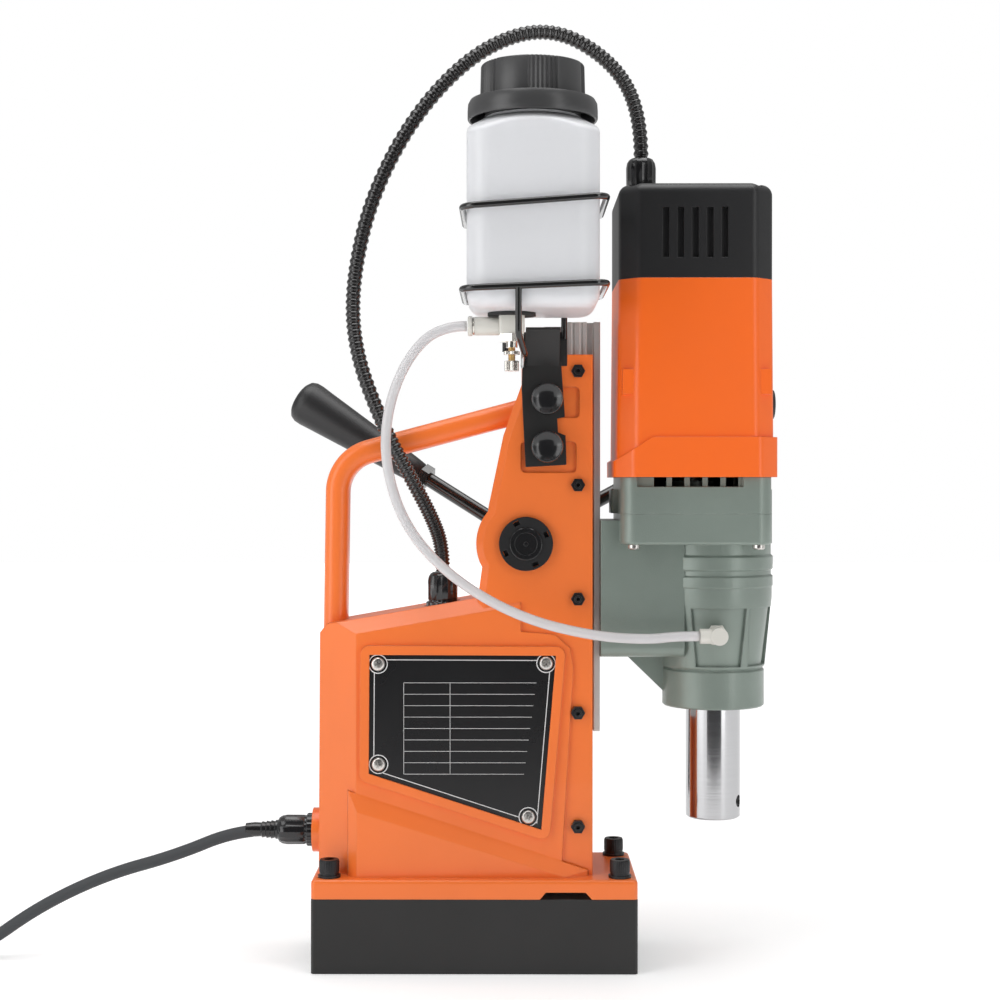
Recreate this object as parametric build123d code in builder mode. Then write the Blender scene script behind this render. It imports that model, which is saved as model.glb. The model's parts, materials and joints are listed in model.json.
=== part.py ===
"""Magnetic drill press: an electromagnet foot, a cast frame with a carrying handle, and a
geared drill head that a capstan raises and lowers on a rack.

Millimetres. +Z is up, +X points from the frame to the spindle, +Y points to the lever side.
The origin is the middle of the magnet's pole face, which rests on the work.
"""
from build123d import *
import math
import os

os.makedirs("parts", exist_ok=True)

# ---------------------------------------------------------------- driving dimensions
# magnet foot
MAGNET_LENGTH = 210.0
MAGNET_WIDTH = 90.0
MAGNET_HEIGHT = 48.0
COIL_WALL = 12.0
COIL_DEPTH = 34.0
CORE_LENGTH = 130.0
CORE_WIDTH = 26.0
FOOT_TOP = 60.4
BOLT_X = 94.0
BOLT_Y = 35.0
BOLT_R = 4.0

# frame casting
FRAME_HALF = 30.0
PANEL_FACE = 32.0
WEDGE_FACE = 38.0
BOX_LEFT = -103.0
COLUMN_RIGHT = 76.6
COLUMN_TOP = 398.5
WALL = 5.0
HANDLE_DEPTH = 25.0

# feed: rack, pinion and capstan
FEED_X = 33.3
FEED_Z = 275.8
FEED_MODULE = 1.5
FEED_TEETH = 18
FEED_R = FEED_MODULE * FEED_TEETH / 2
LEVER_ANGLES = (148.0, 28.0, 268.0)
LEVER_TILT = 11.6
LEVER_Y = 50.0
LEVER_ROD_R = 5.0
GRIP_START = 88.0
GRIP_END = 193.0

# slide
SLIDE_BACK = 60.5
SLIDE_FACE = 81.8
SLIDE_BOTTOM = 153.0
SLIDE_TOP = 420.4
SLIDE_HALF = 22.0
NECK_HALF = 16.0
NECK_X = 73.0
RUN = 0.3
GIB_SPOTS = [92.5 + 73.8 * step for step in range(5)]
GIB_X = 67.0

# head
MOTOR_X = 142.3
MOTOR_HALF_X = 49.5
MOTOR_HALF_Y = 50.0
SPINDLE_X = 158.0
CASE_BOTTOM = 275.6
CASE_SEAM = 295.4
CASE_TOP = 319.0
CASE_FLOOR = 280.0
CASE_LEFT = 94.0
CASE_RIGHT = 191.0
CASE_HALF = 48.0
CASE_WALL = 4.5
HOUSING_TOP = 446.0
CAP_TOP = 507.0
SKIRT_TOP = 344.7
COLLAR_R = 33.6
COLLAR_BOTTOM = 168.0
BARREL_R = 39.4
SPINDLE_R = 18.0
SPINDLE_BOTTOM = 93.7
ARBOR_BORE_R = 9.53
ARBOR_BORE_DEPTH = 50.0

# gear train: three reductions from the motor to the spindle
GEAR_MODULE = 1.0
SPINDLE_MODULE = 1.25
PINION_TEETH = 12
FIRST_TEETH = 38
SECOND_TEETH = 36
SPINDLE_TEETH = 40
SHAFT_1 = (130.3, -21.93)
SHAFT_2 = (125.54, 1.6)
LAYER_1 = (298.0, 305.0)
LAYER_2 = (289.5, 296.5)
LAYER_3 = (281.0, 288.5)

# coolant bottle
BOTTLE_X = 37.0
BOTTLE_Y = -75.0
BOTTLE_SIDE = 81.0
BOTTLE_BOTTOM = 421.0
BOTTLE_SHOULDER = 539.6
SHOULDER_EDGE = 535.0
SHOULDER_SLOPE = 0.58
NECK_R = 29.0
NECK_TOP = 566.0
CAP_RING_R = 40.5
CAP_BODY_R = 32.7
CAP_HEIGHT = 574.5
CAP_RING_TOP = 553.0
VALVE_X = 24.0
WIRE_R = 2.0

# conduit, hose and power cord
CONDUIT_D = 10.0
HOSE_D = 6.35
CORD_D = 8.0
CORD_Z = 84.3
CONDUIT_POINTS = [
    (110, 0, 531), (110, 0, 560), (92, -3, 594), (50, -4, 618), (4, -5, 604), (-38, -7, 562),
    (-68, -10, 506), (-81, -13, 448), (-79, -18, 402), (-60, -22, 352), (-41, -21, 317),
    (-28, -14.5, 292), (-21.5, -10, 273), (-21.5, -10, 257),
]
HOSE_POINTS = [
    (-4, -75, 412.8), (-22, -75, 412.8), (-42, -75, 392), (-54, -75, 360), (-55, -75, 325),
    (-42, -73, 286), (-12, -70, 254), (30, -65, 230), (76, -57, 218), (112, -51, 215.5),
    (128, -50, 217.5), (144, -50, 217.5),
]
CORD_POINTS = [
    (-132, 0, 84.3), (-158, 0, 84.3), (-200, -1, 67), (-245, -3, 55), (-290, -6, 34),
    (-328, -9, 7), (-352, -10, 4), (-374, -11, 4.3),
]
COIL_X = -392.0
COIL_Y = 45.0
COIL_INNER = 36.0
COIL_OUTER = 60.0
COIL_HEIGHT = 24.0

BOTTOM = (Align.CENTER, Align.CENTER, Align.MIN)


# ---------------------------------------------------------------- helpers
def arc_radii(points, name):
    """Radius of the arc at each inner point, 0.45 of the shorter run over tan(half turn)."""
    spots = [Vector(*point) for point in points]
    radii = []
    for before, corner, after in zip(spots, spots[1:], spots[2:]):
        first = corner - before
        second = after - corner
        half_turn = math.radians(first.get_angle(second)) / 2
        radii.append(0.45 * min(first.length, second.length) / math.tan(half_turn))
    print(name, "arc radii:", [round(radius) for radius in radii])
    return radii


def report_tube(name, solid, line, diameter):
    """Print a tube's length, and its volume against its section times its length."""
    expected = math.pi * diameter**2 / 4 * line.length
    print(f"{name}: {line.length:.0f} mm, volume {solid.volume / expected:.3f} of expected")


def tooth(teeth, module, addendum=0.75, dedendum=1.25, slack=0.07):
    """Outline of one involute tooth on the +X axis, thinned by slack on each flank."""
    pitch_r = teeth * module / 2
    base_r = pitch_r * math.cos(math.radians(20))
    root_r = pitch_r - dedendum * module
    tip_r = pitch_r + addendum * module
    half_pitch = math.pi / (2 * teeth) - slack / pitch_r
    at_pitch = math.tan(math.radians(20)) - math.radians(20)
    flank = [(root_r - 0.2, half_pitch + at_pitch)]
    start = max(base_r, root_r)
    for step in range(5):
        radius = start + (tip_r - start) * step / 4
        pressure = math.acos(min(1.0, base_r / radius))
        flank.append((radius, half_pitch + at_pitch - math.tan(pressure) + pressure))
    upper = [(r * math.cos(a), r * math.sin(a)) for r, a in flank]
    lower = [(x, -y) for x, y in reversed(upper)]
    return upper + lower


def direction(angle, tilt=0.0):
    """Unit vector at an angle in the XZ plane, tilted towards +Y."""
    flat = math.cos(math.radians(tilt))
    return Vector(
        flat * math.cos(math.radians(angle)),
        math.sin(math.radians(tilt)),
        flat * math.sin(math.radians(angle)),
    )


def bearing_degrees(start, end):
    """Angle from one point in the XY plane to another, in degrees."""
    return math.degrees(math.atan2(end[1] - start[1], end[0] - start[0]))


def front(depth):
    """Sketch plane parallel to XZ at y = -depth, with x right, z up, and -Y outwards."""
    return Plane(origin=(0, -depth, 0), x_dir=(1, 0, 0), z_dir=(0, -1, 0))


# ---------------------------------------------------------------- magnet foot
with BuildPart() as magnet_housing:
    Box(MAGNET_LENGTH, MAGNET_WIDTH, MAGNET_HEIGHT, align=BOTTOM)
    chamfer(magnet_housing.edges().filter_by(Axis.Z), length=1.5)
    with BuildSketch():
        Rectangle(MAGNET_LENGTH - 2 * COIL_WALL, MAGNET_WIDTH - 2 * COIL_WALL)
        Rectangle(CORE_LENGTH, CORE_WIDTH, mode=Mode.SUBTRACT)
    extrude(amount=COIL_DEPTH, mode=Mode.SUBTRACT)
    with BuildSketch(Plane.XY.offset(MAGNET_HEIGHT)):
        with GridLocations(2 * BOLT_X, 2 * BOLT_Y, 2, 2):
            Circle(BOLT_R)
    extrude(amount=-12, mode=Mode.SUBTRACT)

with BuildPart() as potted_coil:
    with BuildSketch(Plane.XY.offset(0.5)):
        Rectangle(MAGNET_LENGTH - 2 * COIL_WALL, MAGNET_WIDTH - 2 * COIL_WALL)
        Rectangle(CORE_LENGTH, CORE_WIDTH, mode=Mode.SUBTRACT)
    extrude(amount=COIL_DEPTH - 0.5)

WASHER_TOP = FOOT_TOP + 3.6
with BuildPart() as base_washers:
    with BuildSketch(Plane.XY.offset(FOOT_TOP)):
        with GridLocations(2 * BOLT_X, 2 * BOLT_Y, 2, 2):
            Circle(7.4)
            Circle(BOLT_R + 0.3, mode=Mode.SUBTRACT)
    extrude(amount=1.6)
    with BuildSketch(Plane.XY.offset(FOOT_TOP + 1.6)):
        with GridLocations(2 * BOLT_X, 2 * BOLT_Y, 2, 2):
            Circle(6.3)
            Circle(BOLT_R + 0.3, mode=Mode.SUBTRACT)
    extrude(amount=2.0)

with BuildPart() as base_bolts:
    with BuildSketch(Plane.XY.offset(MAGNET_HEIGHT - 11)):
        with GridLocations(2 * BOLT_X, 2 * BOLT_Y, 2, 2):
            Circle(BOLT_R)
    extrude(amount=WASHER_TOP - MAGNET_HEIGHT + 11)
    with BuildSketch(Plane.XY.offset(WASHER_TOP)):
        with GridLocations(2 * BOLT_X, 2 * BOLT_Y, 2, 2):
            Circle(6.5)
    extrude(amount=8.0)
    chamfer(base_bolts.edges().group_by(Axis.Z)[-1], length=0.7)
    with BuildSketch(Plane.XY.offset(WASHER_TOP + 8.0)):
        with GridLocations(2 * BOLT_X, 2 * BOLT_Y, 2, 2):
            RegularPolygon(3.45, 6)
    extrude(amount=-4.5, mode=Mode.SUBTRACT)

# ---------------------------------------------------------------- frame casting
BOX_TOP_LEFT = (-97.0, 223.0)
BOX_TOP_RIGHT = (0.0, 240.0)

with BuildPart() as frame_box:
    with BuildSketch(Plane.XZ.offset(-PANEL_FACE)):
        with BuildLine():
            Polyline(
                (BOX_LEFT, FOOT_TOP - 1), (BOX_LEFT + 1, 217), BOX_TOP_LEFT, BOX_TOP_RIGHT,
                (30, 240), (30, 219), (52, 217), (62, 208), (64, 195), (56, FOOT_TOP - 1),
                close=True,
            )
        make_face()
    extrude(amount=2 * PANEL_FACE)
    top_edges = frame_box.edges().filter_by(lambda edge: edge.center().Z > 226)
    long_edges = top_edges.filter_by(lambda edge: edge.length > 90)
    chamfer(long_edges, length=9)
    with BuildSketch(Plane.XY.offset(FOOT_TOP - 1)):
        for side in (-1, 1):
            with BuildLine():
                Polyline(
                    (-77, side * PANEL_FACE), (-103.5, side * 14), (-110, side * 14),
                    (-110, side * 50), (-77, side * 50), close=True,
                )
            make_face()
    extrude(amount=200, mode=Mode.SUBTRACT)

with BuildPart() as frame_wedge:
    for side in (-1, 1):
        with BuildSketch(Plane.XZ.offset(side * PANEL_FACE)):
            with BuildLine():
                Polyline((-98, FOOT_TOP - 1), (-98, 124), (-77, 114), (74, 64.5),
                         (74, FOOT_TOP - 1), close=True)
            make_face()
        with BuildSketch(Plane.XZ.offset(side * WEDGE_FACE)):
            with BuildLine():
                Polyline((-98, FOOT_TOP - 1), (-98, 113.5), (-76, 103), (58, FOOT_TOP + 0.5),
                         (57, FOOT_TOP - 1), close=True)
            make_face()
        loft()
    with BuildSketch(Plane.XY.offset(FOOT_TOP - 1)):
        for side in (-1, 1):
            with BuildLine():
                Polyline(
                    (-76, side * WEDGE_FACE), (-102, side * 14), (-110, side * 14),
                    (-110, side * 50), (-76, side * 50), close=True,
                )
            make_face()
    extrude(amount=80, mode=Mode.SUBTRACT)

with BuildPart() as frame_column:
    with BuildSketch(Plane.XZ.offset(-FRAME_HALF)):
        with BuildLine():
            Polyline(
                (2, FOOT_TOP - 1), (2, 240), (5, 262), (9, 300), (18.6, 346), (30.8, 380),
                (30.8, COLUMN_TOP), (COLUMN_RIGHT, COLUMN_TOP), (COLUMN_RIGHT, FOOT_TOP - 1),
                close=True,
            )
        make_face()
        with Locations((FEED_X, FEED_Z)):
            Circle(32.4)
    extrude(amount=2 * FRAME_HALF)
    rim = frame_column.edges().filter_by(
        lambda edge: edge.center().X < 31 and abs(edge.center().Y) > FRAME_HALF - 1
        and edge.center().Z > 225
    )
    chamfer(rim, length=4.5)

HANDLE_POINTS = [(-93, 0, 205), (-91, 0, 330.8), (34, 0, 363.9)]
with BuildPart() as handle:
    with BuildLine() as handle_line:
        FilletPolyline(*HANDLE_POINTS, radius=28)
    with BuildSketch(Plane(origin=HANDLE_POINTS[0], x_dir=(1, 0, 0), z_dir=(0, 0, 1))):
        RectangleRounded(15.5, HANDLE_DEPTH, 7.2)
    sweep(path=handle_line.line)

PLATE_CORNERS = [(-68, 204), (52.7, 203.5), (43.2, 90.8), (-68.5, 127)]
PLATE_SCREWS = [(-62.5, 198), (46.3, 198.6), (-62.2, 133), (34.8, 99)]
CAVITY_CORNERS = [(-75, 72), (-75, 206), (34, 210), (34, 72)]
OPENING_CORNERS = [(-70, 120), (-70, 204), (32, 208), (32, 86.6)]

with BuildPart() as frame_casting:
    with BuildSketch(Plane.XY.offset(MAGNET_HEIGHT)):
        Rectangle(MAGNET_LENGTH, MAGNET_WIDTH)
    extrude(amount=FOOT_TOP - MAGNET_HEIGHT)
    fillet(frame_casting.edges().filter_by(Axis.Z), radius=3)
    fillet(frame_casting.faces().sort_by(Axis.Z)[-1].edges(), radius=2.5)
    add(frame_box.part)
    add(frame_wedge.part)
    add(frame_column.part)
    add(handle.part)
    # raised rim round the name plate
    with BuildSketch(front(PANEL_FACE)):
        with BuildLine():
            Polyline(*PLATE_CORNERS, close=True)
        make_face()
        offset(amount=6, kind=Kind.ARC)
        with BuildLine():
            Polyline(*PLATE_CORNERS, close=True)
        make_face(mode=Mode.SUBTRACT)
    extrude(amount=2.5)
    # electrical box, open to the panel on the lever side
    with BuildSketch(Plane.XZ.offset(-PANEL_FACE)):
        with BuildLine():
            Polyline(*OPENING_CORNERS, close=True)
        make_face()
    extrude(amount=PANEL_FACE, mode=Mode.SUBTRACT)
    with BuildSketch(Plane.XZ.offset(-24)):
        with BuildLine():
            Polyline(*CAVITY_CORNERS, close=True)
        make_face()
    extrude(amount=24 + PANEL_FACE - WALL, mode=Mode.SUBTRACT)
    with BuildSketch(Plane.XZ.offset(-9)):
        with Locations((-86, 134)):
            Rectangle(22, 124)
    extrude(amount=18, mode=Mode.SUBTRACT)
    # T-shaped way for the slide, with room for the gib on the front side
    with BuildSketch(Plane.XY.offset(FOOT_TOP)):
        with Locations(((SLIDE_BACK - RUN + NECK_X + RUN) / 2, -1.2)):
            Rectangle(NECK_X - SLIDE_BACK + 2 * RUN, 2 * (SLIDE_HALF + RUN) + 2.4)
        with Locations((NECK_X, 0)):
            Rectangle(20, 2 * (NECK_HALF + RUN), align=(Align.MIN, Align.CENTER))
        with Locations((43.6, 0)):
            Rectangle(SLIDE_BACK - 43.6, 22, align=(Align.MIN, Align.CENTER))
    extrude(amount=COLUMN_TOP, mode=Mode.SUBTRACT)
    # pinion chamber and the bores for its bushes
    with BuildSketch(Plane.XZ.offset(-11)):
        with Locations((FEED_X, FEED_Z)):
            Circle(16.2)
    extrude(amount=22, mode=Mode.SUBTRACT)
    with BuildSketch(Plane.XZ.offset(-FRAME_HALF)):
        with Locations((FEED_X, FEED_Z)):
            Circle(15.5)
    extrude(amount=2 * FRAME_HALF, mode=Mode.SUBTRACT)
    # gib screw holes and the two shallow pockets behind the bottle bracket
    with BuildSketch(front(FRAME_HALF)):
        with Locations(*[(GIB_X, z) for z in GIB_SPOTS]):
            Circle(2.5)
    extrude(amount=-8, mode=Mode.SUBTRACT)
    with BuildSketch(front(FRAME_HALF)):
        with Locations((49.9, 367.5), (48, 332)):
            RectangleRounded(36, 20, 3)
    extrude(amount=-2.5, mode=Mode.SUBTRACT)
    with BuildSketch(front(FRAME_HALF)):
        with Locations((46.8, 369.4), (46.8, 338.6)):
            Circle(3.0)
    extrude(amount=-14, mode=Mode.SUBTRACT)
    # bolt holes and the safety strap slot through the foot
    with BuildSketch(Plane.XY.offset(MAGNET_HEIGHT)):
        with GridLocations(2 * BOLT_X, 2 * BOLT_Y, 2, 2):
            Circle(BOLT_R + 0.5)
    extrude(amount=FOOT_TOP - MAGNET_HEIGHT, mode=Mode.SUBTRACT)
    with BuildSketch(Plane.XZ.offset(-50)):
        with BuildLine():
            Polyline((42, MAGNET_HEIGHT), (46, MAGNET_HEIGHT + 4.5), (71.5, MAGNET_HEIGHT + 4.5),
                     (75.5, MAGNET_HEIGHT), close=True)
        make_face()
    extrude(amount=100, mode=Mode.SUBTRACT)
    # boss and hole for the power cord, and the hole for the conduit gland
    with BuildSketch(Plane.YZ.offset(-108)):
        with Locations((0, CORD_Z)):
            Circle(14.5)
    extrude(amount=8)
    with BuildSketch(Plane.YZ.offset(-108)):
        with Locations((0, CORD_Z)):
            Circle(8)
    extrude(amount=14, mode=Mode.SUBTRACT)
    with BuildSketch(Plane.XY.offset(215)):
        with Locations((-21.5, -10)):
            Circle(8)
    extrude(amount=18, mode=Mode.SUBTRACT)
    with BuildSketch(Plane.XY.offset(233)):
        with Locations((-21.5, -10)):
            Circle(12)
    extrude(amount=20, mode=Mode.SUBTRACT)
    # screw holes of the name plate
    with BuildSketch(front(PANEL_FACE)):
        with Locations(*PLATE_SCREWS):
            Circle(2)
    extrude(amount=-WALL, mode=Mode.SUBTRACT)

with BuildPart() as name_plate:
    with BuildSketch(front(PANEL_FACE)):
        with BuildLine():
            Polyline(*PLATE_CORNERS, close=True)
        make_face()
        with Locations(*PLATE_SCREWS):
            Circle(2.1, mode=Mode.SUBTRACT)
    extrude(amount=1.2)

with BuildPart() as name_plate_screws:
    with BuildSketch(front(PANEL_FACE - WALL)):
        with Locations(*PLATE_SCREWS):
            Circle(2)
    extrude(amount=WALL + 1.2)
    with BuildSketch(front(PANEL_FACE + 1.2)):
        with Locations(*PLATE_SCREWS):
            Circle(4.5)
    extrude(amount=2.4)
    fillet(name_plate_screws.edges().group_by(Axis.Y)[0], radius=1.6)

# ---------------------------------------------------------------- control panel (lever side)
PANEL_SHEET = 2.5
ROCKER_SPOT = (-58.0, 165.0)
START_SPOT = (-8.0, 178.0)
STOP_SPOT = (-8.0, 142.0)

with BuildPart() as control_panel:
    with BuildSketch(Plane.XZ.offset(-PANEL_FACE)):
        with BuildLine():
            Polyline(*OPENING_CORNERS, close=True)
        make_face()
        offset(amount=5, kind=Kind.ARC)
        with Locations(ROCKER_SPOT):
            Rectangle(19, 24, mode=Mode.SUBTRACT)
        with Locations(START_SPOT, STOP_SPOT):
            Circle(6.4, mode=Mode.SUBTRACT)
    extrude(amount=-PANEL_SHEET)
    # raised bezels round the switches
    with BuildSketch(Plane.XZ.offset(-PANEL_FACE - PANEL_SHEET)):
        with Locations(ROCKER_SPOT):
            Rectangle(25, 30)
            Rectangle(19, 24, mode=Mode.SUBTRACT)
        with Locations(START_SPOT, STOP_SPOT):
            Circle(9)
            Circle(6.4, mode=Mode.SUBTRACT)
    extrude(amount=-1.5)

ROCKER_Y = PANEL_FACE + 2.0
ROCKER_REST = math.radians(-12)
with BuildPart() as magnet_switch:
    rocker_plane = Plane(
        origin=(ROCKER_SPOT[0] - 9.2, ROCKER_Y, ROCKER_SPOT[1]),
        x_dir=(0, math.cos(ROCKER_REST), math.sin(ROCKER_REST)), z_dir=(1, 0, 0),
    )
    with BuildSketch(rocker_plane):
        Circle(11.7)
        with Locations((3, 0)):
            Rectangle(20, 30, align=(Align.MIN, Align.CENTER), mode=Mode.SUBTRACT)
        with BuildLine():
            Polyline((3, -10.9), (7.5, -8.5), (4.8, 0), (7.5, 8.5), (3, 10.9), close=True)
        make_face()
    extrude(amount=18.4)


def push_button(spot):
    """A sprung push button with a retaining collar behind the panel, pointing to +Y."""
    with BuildPart() as button:
        with BuildSketch(Plane.XZ.offset(-PANEL_FACE + 2.4)):
            with Locations(spot):
                Circle(8)
        extrude(amount=-2.2)
        with BuildSketch(Plane.XZ.offset(-PANEL_FACE + 0.2)):
            with Locations(spot):
                Circle(6.2)
        extrude(amount=-8.2)
        fillet(button.edges().sort_by(Axis.Y)[-1], radius=1.2)
    return button


start_button = push_button(START_SPOT)
stop_button = push_button(STOP_SPOT)

# ---------------------------------------------------------------- slide, rack and gib
with BuildPart() as slide_rail:
    with BuildSketch(Plane.XY.offset(SLIDE_BOTTOM)):
        with Locations((SLIDE_BACK, 0)):
            Rectangle(NECK_X - SLIDE_BACK, 2 * SLIDE_HALF, align=(Align.MIN, Align.CENTER))
        with Locations((NECK_X, 0)):
            Rectangle(SLIDE_FACE - NECK_X, 2 * NECK_HALF, align=(Align.MIN, Align.CENTER))
        with Locations((COLUMN_RIGHT + 0.8, 0)):
            Rectangle(SLIDE_FACE - COLUMN_RIGHT - 0.8, 2 * SLIDE_HALF,
                      align=(Align.MIN, Align.CENTER))
        # oil grooves along both flanks
        for side in (-1, 1):
            with Locations((64, side * SLIDE_HALF), (69.5, side * SLIDE_HALF)):
                Rectangle(1.6, 2.4, mode=Mode.SUBTRACT)
    extrude(amount=SLIDE_TOP - SLIDE_BOTTOM)

TOOTH_PITCH = math.pi * FEED_MODULE
PITCH_LINE = FEED_X + FEED_R
RACK_TIP = PITCH_LINE - 0.75 * FEED_MODULE
RACK_ROOT = PITCH_LINE + 1.2 * FEED_MODULE
RACK_BOTTOM = SLIDE_BOTTOM + 1
RACK_TOP = SLIDE_TOP - 2
SLOPE = math.tan(math.radians(20))
first_gap = math.floor((RACK_BOTTOM - FEED_Z) / TOOTH_PITCH)
last_gap = math.floor((RACK_TOP - 2 - FEED_Z) / TOOTH_PITCH)

with BuildPart() as feed_rack:
    with BuildSketch(Plane.XZ.offset(-8)):
        with Locations((RACK_TIP, RACK_BOTTOM)):
            Rectangle(SLIDE_BACK - RACK_TIP, RACK_TOP - RACK_BOTTOM, align=Align.MIN)
        for number in range(first_gap, last_gap + 1):
            middle = FEED_Z + number * TOOTH_PITCH
            at_tip = TOOTH_PITCH / 4 + 0.07 + (PITCH_LINE - RACK_TIP) * SLOPE
            at_root = TOOTH_PITCH / 4 + 0.07 - (RACK_ROOT - PITCH_LINE) * SLOPE
            with BuildLine():
                Polyline((RACK_TIP, middle - at_tip), (RACK_ROOT, middle - at_root),
                         (RACK_ROOT, middle + at_root), (RACK_TIP, middle + at_tip), close=True)
            make_face(mode=Mode.SUBTRACT)
    extrude(amount=16)

with BuildPart() as gib_strip:
    with BuildSketch(Plane.XY.offset(FOOT_TOP + 4)):
        with Locations((GIB_X, -SLIDE_HALF - 0.05)):
            Rectangle(11.5, 2.4, align=(Align.CENTER, Align.MAX))
    extrude(amount=COLUMN_TOP - FOOT_TOP - 7)

GIB_PLATE_Y = SLIDE_HALF + 2.45
with BuildPart() as gib_screws:
    with BuildSketch(front(GIB_PLATE_Y)):
        with Locations(*[(GIB_X, z) for z in GIB_SPOTS]):
            Circle(2.5)
    extrude(amount=FRAME_HALF + 5.4 - GIB_PLATE_Y)
    with BuildSketch(front(FRAME_HALF + 5.4)):
        with Locations(*[(GIB_X, z) for z in GIB_SPOTS]):
            RegularPolygon(1.45, 6)
    extrude(amount=-3, mode=Mode.SUBTRACT)

with BuildPart() as gib_nuts:
    with BuildSketch(front(FRAME_HALF)):
        with Locations(*[(GIB_X, z) for z in GIB_SPOTS]):
            RegularPolygon(4.6, 6)
            Circle(2.5, mode=Mode.SUBTRACT)
    extrude(amount=4)

# ---------------------------------------------------------------- feed shaft and capstan
with BuildPart() as shaft_bushes:
    for side in (-1, 1):
        inner = 11.0
        with BuildSketch(Plane.XZ.offset(-side * inner)):
            with Locations((FEED_X, FEED_Z)):
                Circle(15.5)
                Circle(9.56, mode=Mode.SUBTRACT)
        extrude(amount=-side * (FRAME_HALF - inner))
        with BuildSketch(Plane.XZ.offset(-side * FRAME_HALF)):
            with Locations((FEED_X, FEED_Z)):
                Circle(17.5)
                Circle(9.56, mode=Mode.SUBTRACT)
                with PolarLocations(14.5, 4, start_angle=25):
                    Rectangle(3, 4, mode=Mode.SUBTRACT)
        extrude(amount=-side * 4)

with BuildPart() as pinion_shaft:
    with BuildSketch(Plane.XZ.offset(10)):
        with Locations((FEED_X, FEED_Z)):
            Circle(FEED_R - 1.25 * FEED_MODULE)
            with PolarLocations(0, FEED_TEETH):
                Polygon(*tooth(FEED_TEETH, FEED_MODULE), align=None)
    extrude(amount=-20)
    with BuildSketch(Plane.XZ.offset(35)):
        with Locations((FEED_X, FEED_Z)):
            Circle(9.5)
    extrude(amount=-107)
    with BuildSketch(Plane.XZ.offset(35)):
        with Locations((FEED_X, FEED_Z)):
            Circle(1.6)
    extrude(amount=-4, mode=Mode.SUBTRACT)

LEVER_ROOT = Vector(FEED_X, LEVER_Y, FEED_Z)


def lever_plane(angle, distance):
    """Sketch plane across one lever, this far from the hub's centre."""
    along = direction(angle, LEVER_TILT)
    return Plane(origin=LEVER_ROOT + along * distance, x_dir=(0, 0, 1), z_dir=along)


with BuildPart() as lever_rods:
    for angle in LEVER_ANGLES:
        with BuildSketch(lever_plane(angle, 13)):
            Circle(LEVER_ROD_R)
        extrude(amount=GRIP_START + 14)
        with BuildSketch(lever_plane(angle, GRIP_START - 7)):
            RegularPolygon(9, 6)
        extrude(amount=6.5)

with BuildPart() as lever_hub:
    with BuildSketch(Plane.XZ.offset(-35)):
        with Locations((FEED_X, FEED_Z)):
            Circle(20)
            Circle(9.5, mode=Mode.SUBTRACT)
    extrude(amount=-33)
    fillet(lever_hub.faces().sort_by(Axis.Y)[-1].edges().sort_by(SortBy.RADIUS)[-1], radius=3)
    add(lever_rods.part, mode=Mode.SUBTRACT)

with BuildPart() as lever_grips:
    for angle in LEVER_ANGLES:
        with BuildSketch(lever_plane(angle, GRIP_START)):
            Circle(8)
        with BuildSketch(lever_plane(angle, GRIP_END - 6)):
            Circle(16)
        loft()
        with BuildSketch(lever_plane(angle, GRIP_END - 6)):
            Circle(16)
        with BuildSketch(lever_plane(angle, GRIP_END)):
            Circle(11.5)
        loft()
    add(lever_rods.part, mode=Mode.SUBTRACT)

# ---------------------------------------------------------------- gear case and head casting
with BuildPart() as barrel_pocket:
    with BuildSketch(front(15)):
        with BuildLine():
            Polyline((SPINDLE_X - 18, 234), (SPINDLE_X + 18, 234), (SPINDLE_X + 14.5, 196),
                     (SPINDLE_X - 14.5, 196), close=True)
        make_face()
    extrude(amount=30)
    with BuildSketch(Plane.XZ):
        with BuildLine():
            Polyline((SPINDLE_X, 190), (SPINDLE_X + 31, 190), (SPINDLE_X + 37, 240),
                     (SPINDLE_X, 240), close=True)
        make_face()
    revolve(axis=Axis((SPINDLE_X, 0, 0), (0, 0, 1)), mode=Mode.SUBTRACT)

CORNER_SCREWS = (80, 84)
CASE_MIDDLE = (CASE_LEFT + CASE_RIGHT) / 2

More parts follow.
